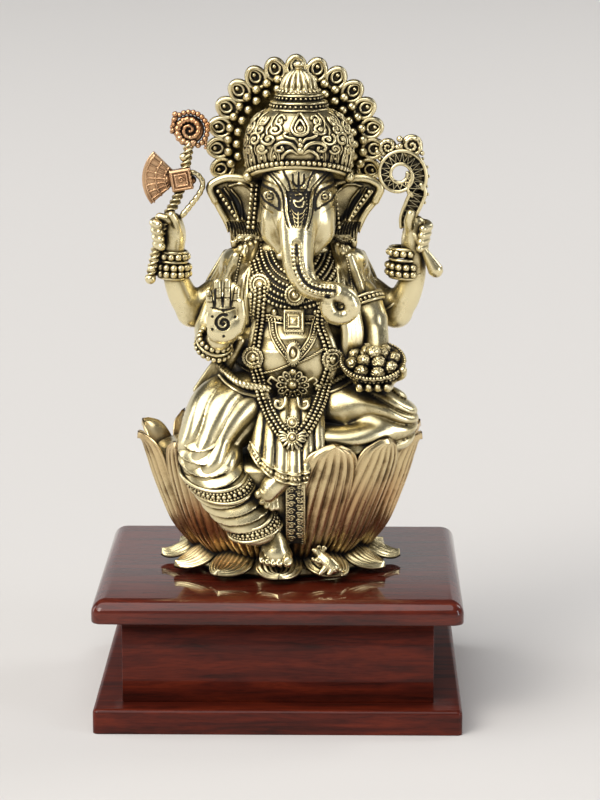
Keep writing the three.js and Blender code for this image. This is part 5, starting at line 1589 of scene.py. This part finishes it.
STRAND_LEFT = [(-15, 186), (-11.6, 176), (-11.2, 168.1), (-11.9, 160.2), (-12.5, 151.5), (-14.3, 140.9), (-15.1, 132.9),
               (-12.1, 121.6), (-9.1, 111.1), (-4.4, 101.5), (2.5, 92.7), (8.2, 88.5)]
STRAND_RIGHT = [(27, 166), (25, 153.2), (27.4, 146.2), (29.9, 139.2), (31.7, 132.2), (28.6, 120.8), (24.8, 109.4),
                (19.6, 99.7), (14.1, 92.7), (8.2, 88.5)]


def garland():
    """Two broad strands of beads from the shoulders to the lap, with four rosettes."""
    parts = []
    rows = []
    for line in (STRAND_LEFT, STRAND_RIGHT):
        parts.append(ribbon(FRONT.lay(line, 0.5, 1.2, 7), 3.6, 0.8))
        for d in (-2.6, 0, 2.6):
            rows.append(FRONT.lay(offset(line, d), 1.8 if d else 2.3, 0.8, 7))
    beads_on("garland_beads", rows, 2.35, 1.22, POLISHED, BIG_BEAD)
    for x, z, r in ((-11.5, 174.3, 6.4), (9.3, 169.0, 6.2), (-15.4, 132.9, 6.4), (31.7, 132.2, 6.4)):
        parts += on_front(rosette(r), x, z, 2.0)
    pts, faces = join_meshes(parts)
    hand_over(mesh_object("garland_brass", pts, faces, POLISHED), ["garland"])


def necklaces():
    """Rows of beads filling the neck opening on both sides of the trunk."""
    parts, rows, fine = [], [], []
    for k in range(7):
        r = 15.0 + 3.0 * k
        for a0, a1 in ((186 - k, 264), (276, 350 + k)):
            line = [(9.5 + r * math.cos(a), 196 + 1.06 * r * math.sin(a)) for a in np.radians(np.linspace(a0, a1, 12))]
            line = [(x, z) for x, z in line if -22 < x < 40 and z > 155]
            if len(line) > 3:
                (rows if k % 2 == 0 else fine).append(FRONT.lay(line, 1.0, 0.8, 7))
                if k % 2:
                    path = FRONT.lay(line, 0.6, 1.0, 7)
                    parts.append(tube_mesh(path, np.full(len(path), 0.7), 6))
    beads_on("necklace_beads", rows, 2.5, 1.35)
    beads_on("necklace_fine_beads", fine, 1.6, 0.9)
    for k in range(12):
        a = math.radians(200 + 12.7 * k)
        x, z = 9.5 + 37.5 * math.cos(a), 196 + 37.5 * 1.06 * math.sin(a)
        if -20 < x < 38 and z > 157 and abs(x - 9.5) > 8:
            parts += on_front([disc([(0, 1.2), (1.2, 1.0), (1.9, 0.2), (1.7, -0.4), (0, -0.5)], 16, 1.25)], x, z, 0.8)
    pts, faces = join_meshes(parts)
    hand_over(mesh_object("necklace_brass", pts, faces, CARVED), ["necklace"])


def chest_belt():
    """Belt under the chest with a square jewel, a looped chain and an oval pendant."""
    parts, rows = [], []
    for top, low in (([(-22, 157.6), (-8.7, 156.9), (3, 155.6)], [(-22, 153.8), (-8.7, 153.4), (3, 152.4)]),
                     ([(14.4, 156.6), (25.6, 156.3), (36, 157.5)], [(14.4, 152.6), (25.6, 152.4), (36, 153.4)])):
        for edge in (top, low):
            path = FRONT.lay(edge, 0.9, 1.0, 7)
            parts.append(tube_mesh(path, np.full(len(path), 0.7), 8))
        mid = [((a[0] + b[0]) / 2, (a[1] + b[1]) / 2) for a, b in zip(top, low)]
        parts.append(ribbon(FRONT.lay(mid, 0.4, 1.0, 7), 2.0, 0.8))
        rows.append(FRONT.lay(mid, 1.0, 0.8, 7))
    square = [(0, 2.2), (1.0, 2.2), (1.8, 1.4), (2.3, 1.2), (2.9, 1.9), (3.3, 1.9), (3.7, 1.0), (4.5, 1.0), (5.1, 1.6),
              (5.9, 1.4), (6.1, -0.6), (0, -0.6)]
    parts += on_front([disc(square, 64, 1.08, squared)], 8.7, 154.4, 3.0)
    studs = []
    for j in range(5):
        for s in (-1, 1):
            studs.append(ball_mesh((-4.4 + 2.2 * j, s * 4.7, 1.4), 0.5, 4, 6))
            studs.append(ball_mesh((s * 4.3, -4.6 + 2.3 * j, 1.4), 0.5, 4, 6))
    for j in range(8):
        x = -4.9 + 1.4 * j
        studs.append(tube_mesh([(x, -6.4, 0.9), (x, -9.0, 0.6)], [0.42, 0.6], 6))
    parts += on_front(studs, 8.7, 154.4, 3.0)
    for line in ([(-5.5, 157), (-4, 153.2), (-2.7, 146.2), (1.6, 139.2), (5.9, 134.8), (8.6, 133.6)],
                 [(23.0, 156), (21.4, 152.3), (19.6, 145.3), (15.8, 139.2), (11.5, 134.8), (8.6, 133.6)]):
        parts.append(ribbon(FRONT.lay(line, 0.5, 1.0, 7), 1.7, 0.8))
        for d in (-1.8, 1.8):
            path = FRONT.lay(offset(line, d), 0.9, 1.0, 7)
            parts.append(tube_mesh(path, np.full(len(path), 0.5), 6))
        rows.append(FRONT.lay(line, 1.1, 0.8, 7))
    oval = [(0, 2.4), (1.0, 2.2), (1.6, 1.3), (1.8, 0.6), (2.2, 0.6), (2.6, 1.4), (3.1, 1.4), (3.4, 0.5), (3.8, 0.6),
            (4.1, 0.2), (3.9, -0.6), (0, -0.8)]
    parts += on_front([disc(oval, 48, 1.55)], 8.5, 137.0, 1.6)
    parts += on_front([ball_mesh((0, 0, 0), 1.5)], 8.5, 129.6, 0.8)
    for j in range(22):
        a = 2 * math.pi * j / 22
        parts += on_front([ball_mesh((4.5 * math.cos(a), 6.6 * math.sin(a), 0.3), 0.55, 4, 6)], 8.5, 137.0, 1.4)
    beads_on("chest_belt_beads", rows, 1.7, 0.85)
    # sacred thread across the belly
    thread = [(-31.8, 130.4), (-23.3, 126), (-14.7, 122.9), (-7.8, 124.3), (-1, 126.5), (5.9, 129.5), (16, 133),
              (28, 139)]
    parts += rope(FRONT.lay(thread, 0.5, 1.0, 9), 0.95, 2, 0.3)
    pts, faces = join_meshes(parts)
    hand_over(mesh_object("chest_belt_brass", pts, faces, CARVED), ["chest_belt"])


def waist():
    """Twisted waist rope with a looped flower at the navel, curls, and two ringed gems over a leaf fringe."""
    parts = []
    for line in ([(-35, 127), (-31, 123.6), (-24.1, 119.6), (-15.5, 116.6), (-6, 114.6)],
                 [(22, 114.8), (30.8, 117.2), (40.2, 120.8), (46.4, 124.5)]):
        parts += rope(FRONT.lay(line, 1.5, 1.0, 9), 2.5, 3, 0.13, 8)
        low = [(x, z - 4.4) for x, z in line]
        path = FRONT.lay(low, 0.7, 1.0, 9)
        parts.append(tube_mesh(path, np.full(len(path), 0.9), 6))
    x, z = 8.1, 117.7
    flower = []
    for j in range(12):
        a = 2 * math.pi * j / 12
        c, s = math.cos(a), math.sin(a)
        t = np.linspace(0, 2 * np.pi, 17)
        along, across = 6.7 + 2.7 * np.cos(t), 1.75 * np.sin(t)
        line = np.stack([along * c - across * s, along * s + across * c, np.full(17, 0.9)], 1)
        flower.append(tube_mesh(line, np.full(17, 0.55), 6))
        flower.append(ball_mesh((6.9 * c, 6.9 * s, 0.7), 0.9, 5, 6))
        flower.append(ball_mesh((4.0 * math.cos(a + 0.26), 4.0 * math.sin(a + 0.26), 1.3), 0.85, 5, 6))
    flower.append(disc([(0, 3.1), (1.4, 2.8), (2.3, 1.6), (2.9, 0.8), (3.4, 0.9), (4.6, 0.4), (8.6, -0.2), (8.6, -0.9),
                        (0, -1.0)], 40))
    flower.append(ball_mesh((0.3, 8.6, 1.5), 1.9))
    for s in (-1, 1):
        hook = [(s * 3.6, 3.6, 0.6), (s * 4.4, -0.2, 1.0), (s * 6.8, -2.2, 1.0), (s * 9.4, -0.6, 1.0),
                (s * 9.2, 2.0, 0.9),
                (s * 7.2, 1.6, 0.9)]
        hook = spline(np.array(hook), 24)
        parts += on_front([tube_mesh(hook, np.full(24, 0.95), 8)], 7.7, 107.6, 3.6)
        flower.append(tube_mesh([(s * 8.6, 2.5, 0.5), (s * 12.5, 5.0, 0.3), (s * 14.5, 2.6, 0.2), (s * 12.6, 0.6, 0.4)],
                                [0.8, 0.9, 0.8, 0.6], 6))
    parts += on_front(flower, x, z, 4.6, 6.0)
    for gx, gz in ((8.1, 98.6), (8.3, 90.9)):
        gem = [disc([(0, 2.3), (1.0, 2.1), (1.7, 1.2), (1.9, 0.5), (2.3, 0.9), (2.8, 1.1), (3.3, 0.5), (3.2, -0.5),
                     (0, -0.6)], 32, 1.0)]
        for j in range(14):
            a = 2 * math.pi * j / 14
            gem.append(ball_mesh((3.7 * math.cos(a), 3.7 * math.sin(a), 0.4), 0.55, 4, 6))
        parts += on_front(gem, gx, gz, 3.2)
    fringe = []
    for j in range(7):
        a = math.radians(-90 + 24 * (j - 3))
        c, s = math.cos(a), math.sin(a)
        fringe.append(tube_mesh([(3.6 * c, 3.6 * s, 0.6), (6.6 * c, 6.6 * s, 0.8), (9.0 * c, 9.0 * s, 0.3)],
                                [0.7, 1.15, 0.5], 8))
    for s in (-1, 1):
        for w in (0, 1, 2):
            fringe.append(tube_mesh([(s * 3.6, 1.6 - 1.2 * w, 0.4), (s * 7.0, 3.4 - 1.9 * w, 0.5),
                                     (s * 9.8, 3.8 - 2.8 * w, 0.1)], [0.6, 1.0, 0.5], 6))
    parts += on_front([(0.8 * np.asarray(p), f) for p, f in fringe], 8.3, 90.9, 3.0)
    pts, faces = join_meshes(parts)
    hand_over(mesh_object("waist_rope_brass", pts, faces, POLISHED), ["waist_rope"])


def apron():
    """Pleated cloth falling between the knees to a beaded hem, with a pierced panel under it."""
    clay = Clay((-22, -74, 18), (36, -34, 114), 0.47)
    hem = [(-19.5, 85), (-16.5, 79.5), (-12.5, 74.2), (-8, 70.0), (-1, 66.0), (8, 63.6), (17, 64.4), (28.5, 69)]
    X, Y, Z = clay.coords(tuple(slice(0, n) for n in clay.d.shape))
    hx, hz = np.array(hem).T
    low = np.interp(X, hx, hz)
    side = np.maximum(-11.5 - X - 0.25 * (104 - Z), X - np.interp(Z, [62, 72, 84, 110], [15.5, 18.0, 27.0, 27.4]))
    spread = (X - 7.5) / np.clip(1 + (104 - Z) * 0.006, 1, 2)
    pleat = np.abs(np.sin(spread * 0.46 + 0.6)) ** 0.55
    face = np.interp(Z, [62, 68, 75, 85, 95, 104, 111],
                     [-69.5, -68.6, -66.5, -62.5, -57, -50, -41]) + 0.012 * (X - 8) ** 2 + 2.2 * (0.6 - pleat)
    shell = np.abs(Y - face) - 1.1
    d = np.maximum(shell, np.maximum(side, np.maximum((low - Z), Z - 110)))
    clay.d = np.minimum(clay.d, d).astype(np.float32)
    border = clay.sheet()
    border.stroke([(x, z + 1.0) for x, z in hem], 0.8, 1.2)
    border.stroke([(x, z + 6.2) for x, z in hem], 0.7, 1.1)
    border.dots([(x, z + 3.6) for x, z in hem], 2.4, 1.2, 1.3)
    clay.relief(border.a, (-76, -50))
    panel = clay.sheet()
    near = clay.d.copy()
    px, pz0, pz1 = 10, 24, 66
    wall = -2.6 - np.interp(Z, [13, 20, 31, 45, 60, 70], [39.5, 45.6, 51.7, 56.6, 60.8, 62])
    slab = np.maximum(np.abs(Y - wall) - 1.3, np.maximum(np.abs(X - px) - 5.6, np.maximum(pz0 - Z, Z - pz1)))
    clay.d = np.minimum(near, slab).astype(np.float32)
    for k in range(9):
        z = pz0 + 3.4 + 4.6 * k
        panel.spiral((px - 2.3, z), 2.1, 1.4, 0.5, 1.0, start=0.3, hand=1)
        panel.spiral((px + 2.3, z + 2.2), 2.1, 1.4, 0.5, 1.0, start=2.6, hand=-1)
    for s in (-1, 1):
        panel.stroke([(px + s * 5.2, pz0), (px + s * 5.2, pz1)], 0.6, 1.1)
        panel.dots([(px + s * 4.0, pz0), (px + s * 4.0, pz1)], 1.6, 0.6, 0.9)
    low_part = clay.axes[2] < 66
    panel.a[:, ~low_part] = 0
    clay.relief(panel.a, (-66, -44))
    FRONT.add(clay)
    # painted shade: black on the panel's ground where its piercing would show the dark behind, and patina with painted
    # shade in the depth of the pleats
    dark = clay.sheet()
    sx, sz = dark.x[:, None], dark.z[None, :]
    panel_shade = (np.abs(sx - px) < 5.6) & (sz > pz0) & (sz < 63)
    valley = np.abs(np.sin((sx - 7.5) / np.clip(1 + (104 - sz) * 0.006, 1, 2) * 0.46 + 0.6)) ** 0.55
    cloth = np.clip((0.62 - valley) / 0.3, 0, 1) * (sz > np.interp(sx, hx, hz) + 8) * (np.abs(sx - 8) > 3)
    dark.a = np.maximum(0.95 * panel_shade * np.clip(1 - 1.5 * panel.a, 0, 1), 0.8 * cloth).astype(np.float32)
    from_clay("apron_brass", clay, CARVED, ["apron"], patina_and_painted_shade=dark)


def shawls():
    """Shawl over both shoulders: bordered bands down the chest and long folds outside the arms."""
    for word in ("left", "right"):
        m = -1 if word == "left" else 1
        def at(x):
            return 8.3 + m * x
        low = (at(64), -56, 92) if m < 0 else (at(14), -56, 118)
        high = (at(14), 22, 202) if m < 0 else (at(56), 22, 202)
        clay = Clay(low, high, 0.64)
        for k in range(4):
            line = [(at(22.5 + 2.9 * k), 196 - 1.0 * k), (at(25.5 + 2.6 * k), 182), (at(27.0 + 2.5 * k), 166),
                    (at(26.6 + 2.6 * k), 150 - (0 if m < 0 else -1.5 * k))]
            laid = FRONT.lay(line, 0.8 + 0.25 * k, 3.0, 5)
            clay.limb([(x, max(y, -46), z, 2.1) for x, y, z in laid], 0.8)
        if m < 0:
            folds = [[(at(34 + 1.6 * k), -14 + 6.0 * k, 189 - 0.6 * k), (at(43 + 2.2 * k), -13 + 5.6 * k, 166),
                      (at(48 + 1.4 * k), -12 + 4.6 * k, 146), (at(42 + 1.6 * k), -14 + 3.2 * k, 130)] for k in range(5)]
            folds += [[(at(31 + 1.0 * k), -34 + 1.0 * k, 142 - 1.0 * k),
                       (at(39.5 + 1.6 * k), -30 + 1.4 * k, 124 + 1.4 * k),
                       (at(49.5 + 2.4 * k), -24 + 1.4 * k, 102 + 2.6 * k)] for k in range(4)]
        else:
            folds = [[(at(33 + 1.7 * k), -15 + 6.0 * k, 189 - 0.6 * k), (at(40 + 2.0 * k), -17 + 5.4 * k, 168),
                      (at(41 + 1.6 * k), -20 + 4.6 * k, 150), (at(38 + 1.4 * k), -24 + 4.4 * k, 134)] for k in range(5)]
            folds += [[(at(29 + 2.4 * k), -32 + 1.2 * k, 160), (at(31 + 2.5 * k), -33 + 1.4 * k, 146),
                       (at(30 + 2.6 * k), -34 + 1.4 * k, 128)] for k in range(4)]
        for line in folds:
            clay.limb([(x, y, z, 3.1) for x, y, z in line], 0.9)
        clay.ball((at(33), -2, 184), (11, 15, 9), 2)
        FRONT.add(clay)
        from_clay(f"shawl_{word}_brass", clay, SKIN, [f"shawl_{word}"])
        edge = [(at(20.6), 194), (at(23.0), 182), (at(24.6), 166), (at(24.4), 152)]
        beads_on(f"shawl_{word}_edge", [FRONT.lay(edge, 0.5, 0.8, 5)], 1.8, 0.95)
        inner = [(at(31), 190), (at(34), 176), (at(35), 160)]
        beads_on(f"shawl_{word}_border", [FRONT.lay(inner, 0.4, 0.8, 5)], 1.7, 0.75)


def bangles():
    """Bead bangles on the four wrists, an armlet, an anklet and embroidered bands on the lowered leg."""
    rear_left, rear_right, fronts = [], [], []
    for cx, zs, out in ((-64.0, (177.2, 181.0, 187.4), rear_left), (73.6, (177.6, 181.6, 189.6), rear_right)):
        rings = [loop_about((cx, 0, z), (0.06, 0, 1), 9.6 if z < 183 else 8.8, 60) for z in zs]
        beads_on("rear_bangle_beads_" + ("left" if cx < 0 else "right"), rings, 4.1, 2.25, POLISHED, BIG_BEAD)
        for z in (zs[0] - 2.6, (zs[1] + zs[2]) / 2, zs[2] + 2.4):
            out.append(tube_mesh(loop_about((cx, 0, z), (0.06, 0, 1), 8.4, 60), np.full(60, 1.1), 8))
        elbow = (cx + (8 if cx < 0 else -8), 5, 158)
        out.append(tube_mesh(loop_about(elbow, (0.55 if cx < 0 else -0.55, 0, 0.8), 9.9, 60), np.full(60, 0.8), 8))
    for name, out in (("rear_bangles_left", rear_left), ("rear_bangles_right", rear_right)):
        pts, faces = join_meshes(out)
        hand_over(mesh_object(name + "_brass", pts, faces, POLISHED), [name])
    wrist = [loop_about((-38.2 + 0.6 * k, -39.5 - 1.0 * k, 139.4 + 2.6 * k), (0.25, -0.55, 0.8), 10.4 - 0.5 * k, 60)
             for k in range(3)]
    beads_on("palm_wrist_beads", wrist[::2], 3.2, 1.75, POLISHED, BIG_BEAD)
    fronts.append(tube_mesh(wrist[1], np.full(60, 1.2), 8))
    armlet_at, armlet_axis = (50.4, -11.5, 162.5), (0.35, -0.28, -0.9)
    for k, r in ((-2.2, 10.6), (2.2, 10.9)):
        fronts.append(tube_mesh(loop_about((50.4 + 0.35 * k, -11.5, 162.5 - 0.9 * k), armlet_axis, r, 60),
                                np.full(60, 1.0), 8))
    beads_on("armlet_beads", [loop_about(armlet_at, armlet_axis, 11.0, 60)], 2.6, 1.35)
    bowl_wrist = [loop_about((57, -30 - 1.2 * k, 132.6 - 3.2 * k), (0.05, -0.6, -0.8), 8.6, 48) for k in range(2)]
    beads_on("bowl_wrist_beads", bowl_wrist, 2.9, 1.55, POLISHED, BIG_BEAD)
    # bands on the lowered leg
    shin_z = [37, 43, 54, 66, 78]
    def sash(z0, grow, sx, sy, n=90):
        """A closed line round the lowered leg, dipping towards the viewer."""
        out = []
        for a in np.linspace(0, 2 * math.pi, n):
            z = z0 + 17 * (sx * math.cos(a) + sy * math.sin(a))
            cx = np.interp(z, shin_z, [-13, -19.5, -28, -36, -42])
            cy = np.interp(z, shin_z, [-53, -54, -54, -52.5, -50])
            r = np.interp(z, shin_z, [13.2, 14.8, 16.2, 16.6, 16.0]) + grow
            out.append((cx + 1.16 * r * math.cos(a), cy + r * math.sin(a), z))
        return out
    knee = [sash(69.5 - 1.8 * k, 1.3, 0.14, 0.55) for k in range(5)]
    beads_on("knee_band_beads", [knee[1], knee[3]], 2.0, 1.05)
    beads_on("knee_band_studs", [knee[2]], 3.1, 1.5, CARVED, BIG_BEAD)
    for r in (knee[0], knee[4]):
        fronts.append(tube_mesh(r, np.full(90, 1.2), 8))
    hem = [sash(43.5 - 1.8 * k, 1.0, 0.24, 0.40) for k in range(5)]
    beads_on("shin_hem_beads", [hem[1], hem[3]], 1.9, 1.0)
    beads_on("shin_hem_studs", [hem[2]], 2.9, 1.4, CARVED, BIG_BEAD)
    for r in (hem[0], hem[4]):
        fronts.append(tube_mesh(r, np.full(90, 1.1), 8))
    ankle = [loop_about((-6.6 + 1.0 * k, -50.0, 33.0 - 2.8 * k), (0.36, -0.12, -0.93), 8.9, 50) for k in range(2)]
    beads_on("anklet_beads", ankle, 2.5, 1.3, POLISHED, BIG_BEAD)
    cuff = [loop_about((13 - 2.0 * k, -53.5 - 0.8 * k, 79.0 - 1.4 * k), (0.85, 0.25, 0.45), 10.0, 60) for k in range(3)]
    beads_on("folded_leg_cuff", cuff[::2], 2.1, 1.1)
    fronts.append(tube_mesh(cuff[1], np.full(60, 1.0), 8))
    pts, faces = join_meshes(fronts)
    hand_over(mesh_object("front_bangles_brass", pts, faces, POLISHED), ["front_bangles"])


def studded(at, r, seed):
    """A round sweet with a stippled skin."""
    pts, faces = unit_ball(32, 44)
    p = np.array(pts)
    rng = np.random.default_rng(seed)
    k = rng.normal(size=(150, 3))
    k /= np.linalg.norm(k, axis=1)[:, None]
    near = (p @ k.T).max(1)
    bump = np.clip((near - 0.984) / 0.016, 0, 1) ** 0.5
    p = p * (r * (0.89 + 0.14 * bump))[:, None] + np.array(at)
    return p, faces


def offering():
    """Beaded bowl, tilted to the viewer, heaped with round sweets."""
    tilt = math.radians(27)
    c, s = math.cos(tilt), math.sin(tilt)
    centre = np.array([55.0, -40.0, 130.4])
    def tip(parts):
        out = []
        for pts, faces in parts:
            p = np.asarray(pts, float)
            q = np.stack([p[:, 0], c * p[:, 1] - s * p[:, 2], s * p[:, 1] + c * p[:, 2]], 1)
            out.append((q + centre, faces))
        return out
    def rows(profile, a):
        return 1 + 0.02 * np.cos(24 * a)[None, :] * ((profile[:, :1] > 14) & (profile[:, 1:] > -3))
    bowl = [(0, -9.4), (6, -9.2), (10, -7.8), (14.5, -4.4), (17.6, -0.8), (19.2, 0.6), (19.4, 1.6), (18.6, 2.0),
            (17.2, 1.2), (14, -2.0), (9, -5.4), (0, -6.6)]
    parts = tip([lathe_mesh(spline(np.array(bowl), 40), (0, 0, 0), 96, 0.96, rows)])
    pts, faces = join_meshes([(p, outward(p, f)) for p, f in parts])
    hand_over(mesh_object("bowl_brass", pts, faces, POLISHED), ["bowl"])
    for r, z, size, step in ((18.7, 2.0, 0.95, 2.0), (17.6, -1.4, 1.1, 2.4), (13.6, -5.6, 1.2, 2.6)):
        ring = [(r * math.cos(a), 0.96 * r * math.sin(a), z) for a in np.linspace(0, 2 * math.pi, 90)]
        ring = tip([(np.array(ring), [])])[0][0]
        beads_on(f"bowl_beads_{int(r)}", [[tuple(p) for p in ring]], step, size, POLISHED, BIG_BEAD)
    heap = []
    for j in range(8):
        a = 2 * math.pi * j / 8 - 1.35
        heap.append(studded((12.4 * math.cos(a), 12.0 * math.sin(a), 0.6), 4.4, 20 + j))
    for j in range(4):
        a = 2 * math.pi * j / 4 - 1.0
        heap.append(studded((5.9 * math.cos(a), 5.8 * math.sin(a), 3.6), 4.4, 40 + j))
    heap.append(studded((0.4, 0.6, 6.6), 4.5, 60))
    pts, faces = join_meshes([(p, outward(p, f)) for p, f in tip(heap)])
    hand_over(mesh_object("sweets_brass", pts, faces, POLISHED), ["sweets"])


def mouse():
    """Small mouse on the lower petals, looking up."""
    clay = Clay((10, -68, -1), (48, -36, 32), 0.34)
    clay.limb([(33, -53, 8.5, 5.2), (28, -51, 12.5, 6.0), (23.5, -49, 17, 4.6)], 1.5)
    clay.limb([(22.5, -49, 19, 3.8), (19.4, -50, 21.2, 2.6), (17.2, -51, 22.6, 1.3)], 1.2)
    for dx in (-0.6, 3.4):
        clay.ball((22.4 + dx, -49 - dx * 0.3, 23.4), (2.1, 1.0, 2.3), 0.6)
        clay.ball((22.2 + dx, -50.2 - dx * 0.3, 23.4), (1.2, 0.8, 1.4), 0.4, cut=True)
    clay.ball((19.8, -52.4, 21.8), (0.7, 0.5, 0.7), 0.2)
    for x, z in ((18.2, 14.6), (21.4, 13.0)):
        clay.limb([(x + 4, -52, z + 1.6, 2.0), (x, -54, z, 1.5), (x - 1.4, -54.6, z + 1.6, 1.2)], 0.6)
    for x in (26, 33):
        clay.limb([(x, -55, 7.5, 3.2), (x - 3.4, -58, 4.6, 1.8)], 0.8)
    clay.limb([(36.5, -53, 7, 1.8), (40.5, -53, 5.4, 1.2), (42.6, -56, 4.6, 1.0), (40, -60, 4.0, 0.8)], 0.8)
    fur = clay.sheet()
    for k in range(11):
        x, z = 22.5 + 1.25 * k, 17.0 - 1.05 * k
        fur.stroke([(x, z + 2.6), (x + 1.2, z - 0.4)], 0.35, -0.35)
    clay.relief(fur.a, (-64, -46))
    points, faces = clay.mesh()
    at = np.array([27.5, -52.0, 11.5])
    points = at + (points - at) * 0.74 + [0.5, 0, 0.5]
    hand_over(mesh_object("mouse_brass", points, faces, CARVED), ["mouse"])

# ------------------------------------------------------------------ studio


KEY_WATTS = 262
SKY_WATTS = 2.9


def studio():
    """A wide pale floor, a soft key at the upper left, a narrow fill, two rim lights and a soft overhead light."""
    pts = np.array([(-14, -14, 0), (14, -14, 0), (14, 14, 0), (-14, 14, 0)]) / MM
    floor = mesh_object("studio_floor", pts, [np.array([[0, 1, 2, 3]])], pale_paper(), lift=0)
    lights = (
        ("key", (-4.00, -4.80, 4.20), (0.0, 0.0, 0.22), 3.20, 3.60, KEY_WATTS, "#fff9f0"),
        ("fill", (2.50, -1.40, 0.75), (0.0, 0.0, 0.18), 0.60, 1.90, 24, "#f4f6ff"),
        ("rim", (-5.8, 1.70, 2.0), (0.0, 0.0, 0.2), 1.70, 3.80, 76, "#ffffff"),
        ("back_rim", (5.20, 3.20, 4.2), (0.0, 0.0, 0.2), 2.20, 3.00, 88, "#ffffff"),
    )
    for name, at, aim, wide, tall, power, colour in lights:
        data = bpy.data.lights.new(name, "AREA")
        data.shape = "RECTANGLE"
        data.size, data.size_y = wide, tall
        data.energy = power
        data.color = srgb(colour)[:3]
        lamp = link(bpy.data.objects.new(name, data))
        lamp.location = at
        lamp.rotation_euler = (Vector(aim) - Vector(at)).to_track_quat("-Z", "Y").to_euler()
    sky = bpy.data.lights.new("overhead", "SUN")
    sky.energy = SKY_WATTS
    sky.angle = math.radians(75)
    lamp = link(bpy.data.objects.new("overhead", sky))
    lamp.rotation_euler = (math.radians(24), math.radians(-22), 0)
    world = bpy.data.worlds.new("studio_air")
    world.use_nodes = True
    tree = world.node_tree
    up = node(tree, "ShaderNodeSeparateXYZ", {0: node(tree, "ShaderNodeTexCoord").outputs["Generated"]})
    front = ramp(tree, up.outputs["Z"], [(0.0, grey(0.40)), (0.12, grey(0.34)), (0.26, grey(0.06)), (1.0, grey(0.10))])
    behind = ramp(tree, up.outputs["Z"], [(0.0, grey(0.66)), (0.258, grey(0.66)), (0.275, grey(0.03)),
                                          (1.0, grey(0.10))])
    facing = ramp(tree, up.outputs["Y"], [(0.35, grey(0)), (0.75, grey(1))])
    air = node(tree, "ShaderNodeMix", {0: facing, 6: front, 7: behind}, data_type="RGBA")
    tree.links.new(air.outputs[2], tree.nodes["Background"].inputs["Color"])
    bpy.context.scene.world = world
    bpy.context.scene.view_settings.view_transform = "Standard"


def pale_paper():
    """Matt warm-grey studio paper, a shade paler away from the object."""
    mat = bpy.data.materials.new("studio_paper_warm_grey")
    mat.use_nodes = True
    tree = mat.node_tree
    tree.nodes.clear()
    coords = node(tree, "ShaderNodeTexCoord").outputs["Object"]
    away = node(tree, "ShaderNodeVectorMath", {0: coords}, operation="LENGTH").outputs["Value"]
    spread = node(tree, "ShaderNodeMath", {0: away, 1: 0.25}, operation="MULTIPLY")
    tone = ramp(tree, spread.outputs[0], [(0.05, srgb("#cdcac7")), (0.6, srgb("#d0cdca"))])
    shader = node(tree, "ShaderNodeBsdfPrincipled", {"Base Color": tone, "Roughness": 0.9})
    node(tree, "ShaderNodeOutputMaterial", {"Surface": shader.outputs["BSDF"]})
    return mat


# ------------------------------------------------------------------ the statue, put together

studio()
pedestal()
lotus()
torso()
legs()
apron()
necklaces()
garland()
chest_belt()
waist()
shawls()
arms()
bangles()
offering()
mouse()
head()
ears()
crown()
halo()
axe()
noose()

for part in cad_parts.values():
    wooden = part.name.startswith(("plinth", "panel", "top_board"))
    part.data.materials.clear()
    part.data.materials.append(WOOD_X if wooden else CARVED)
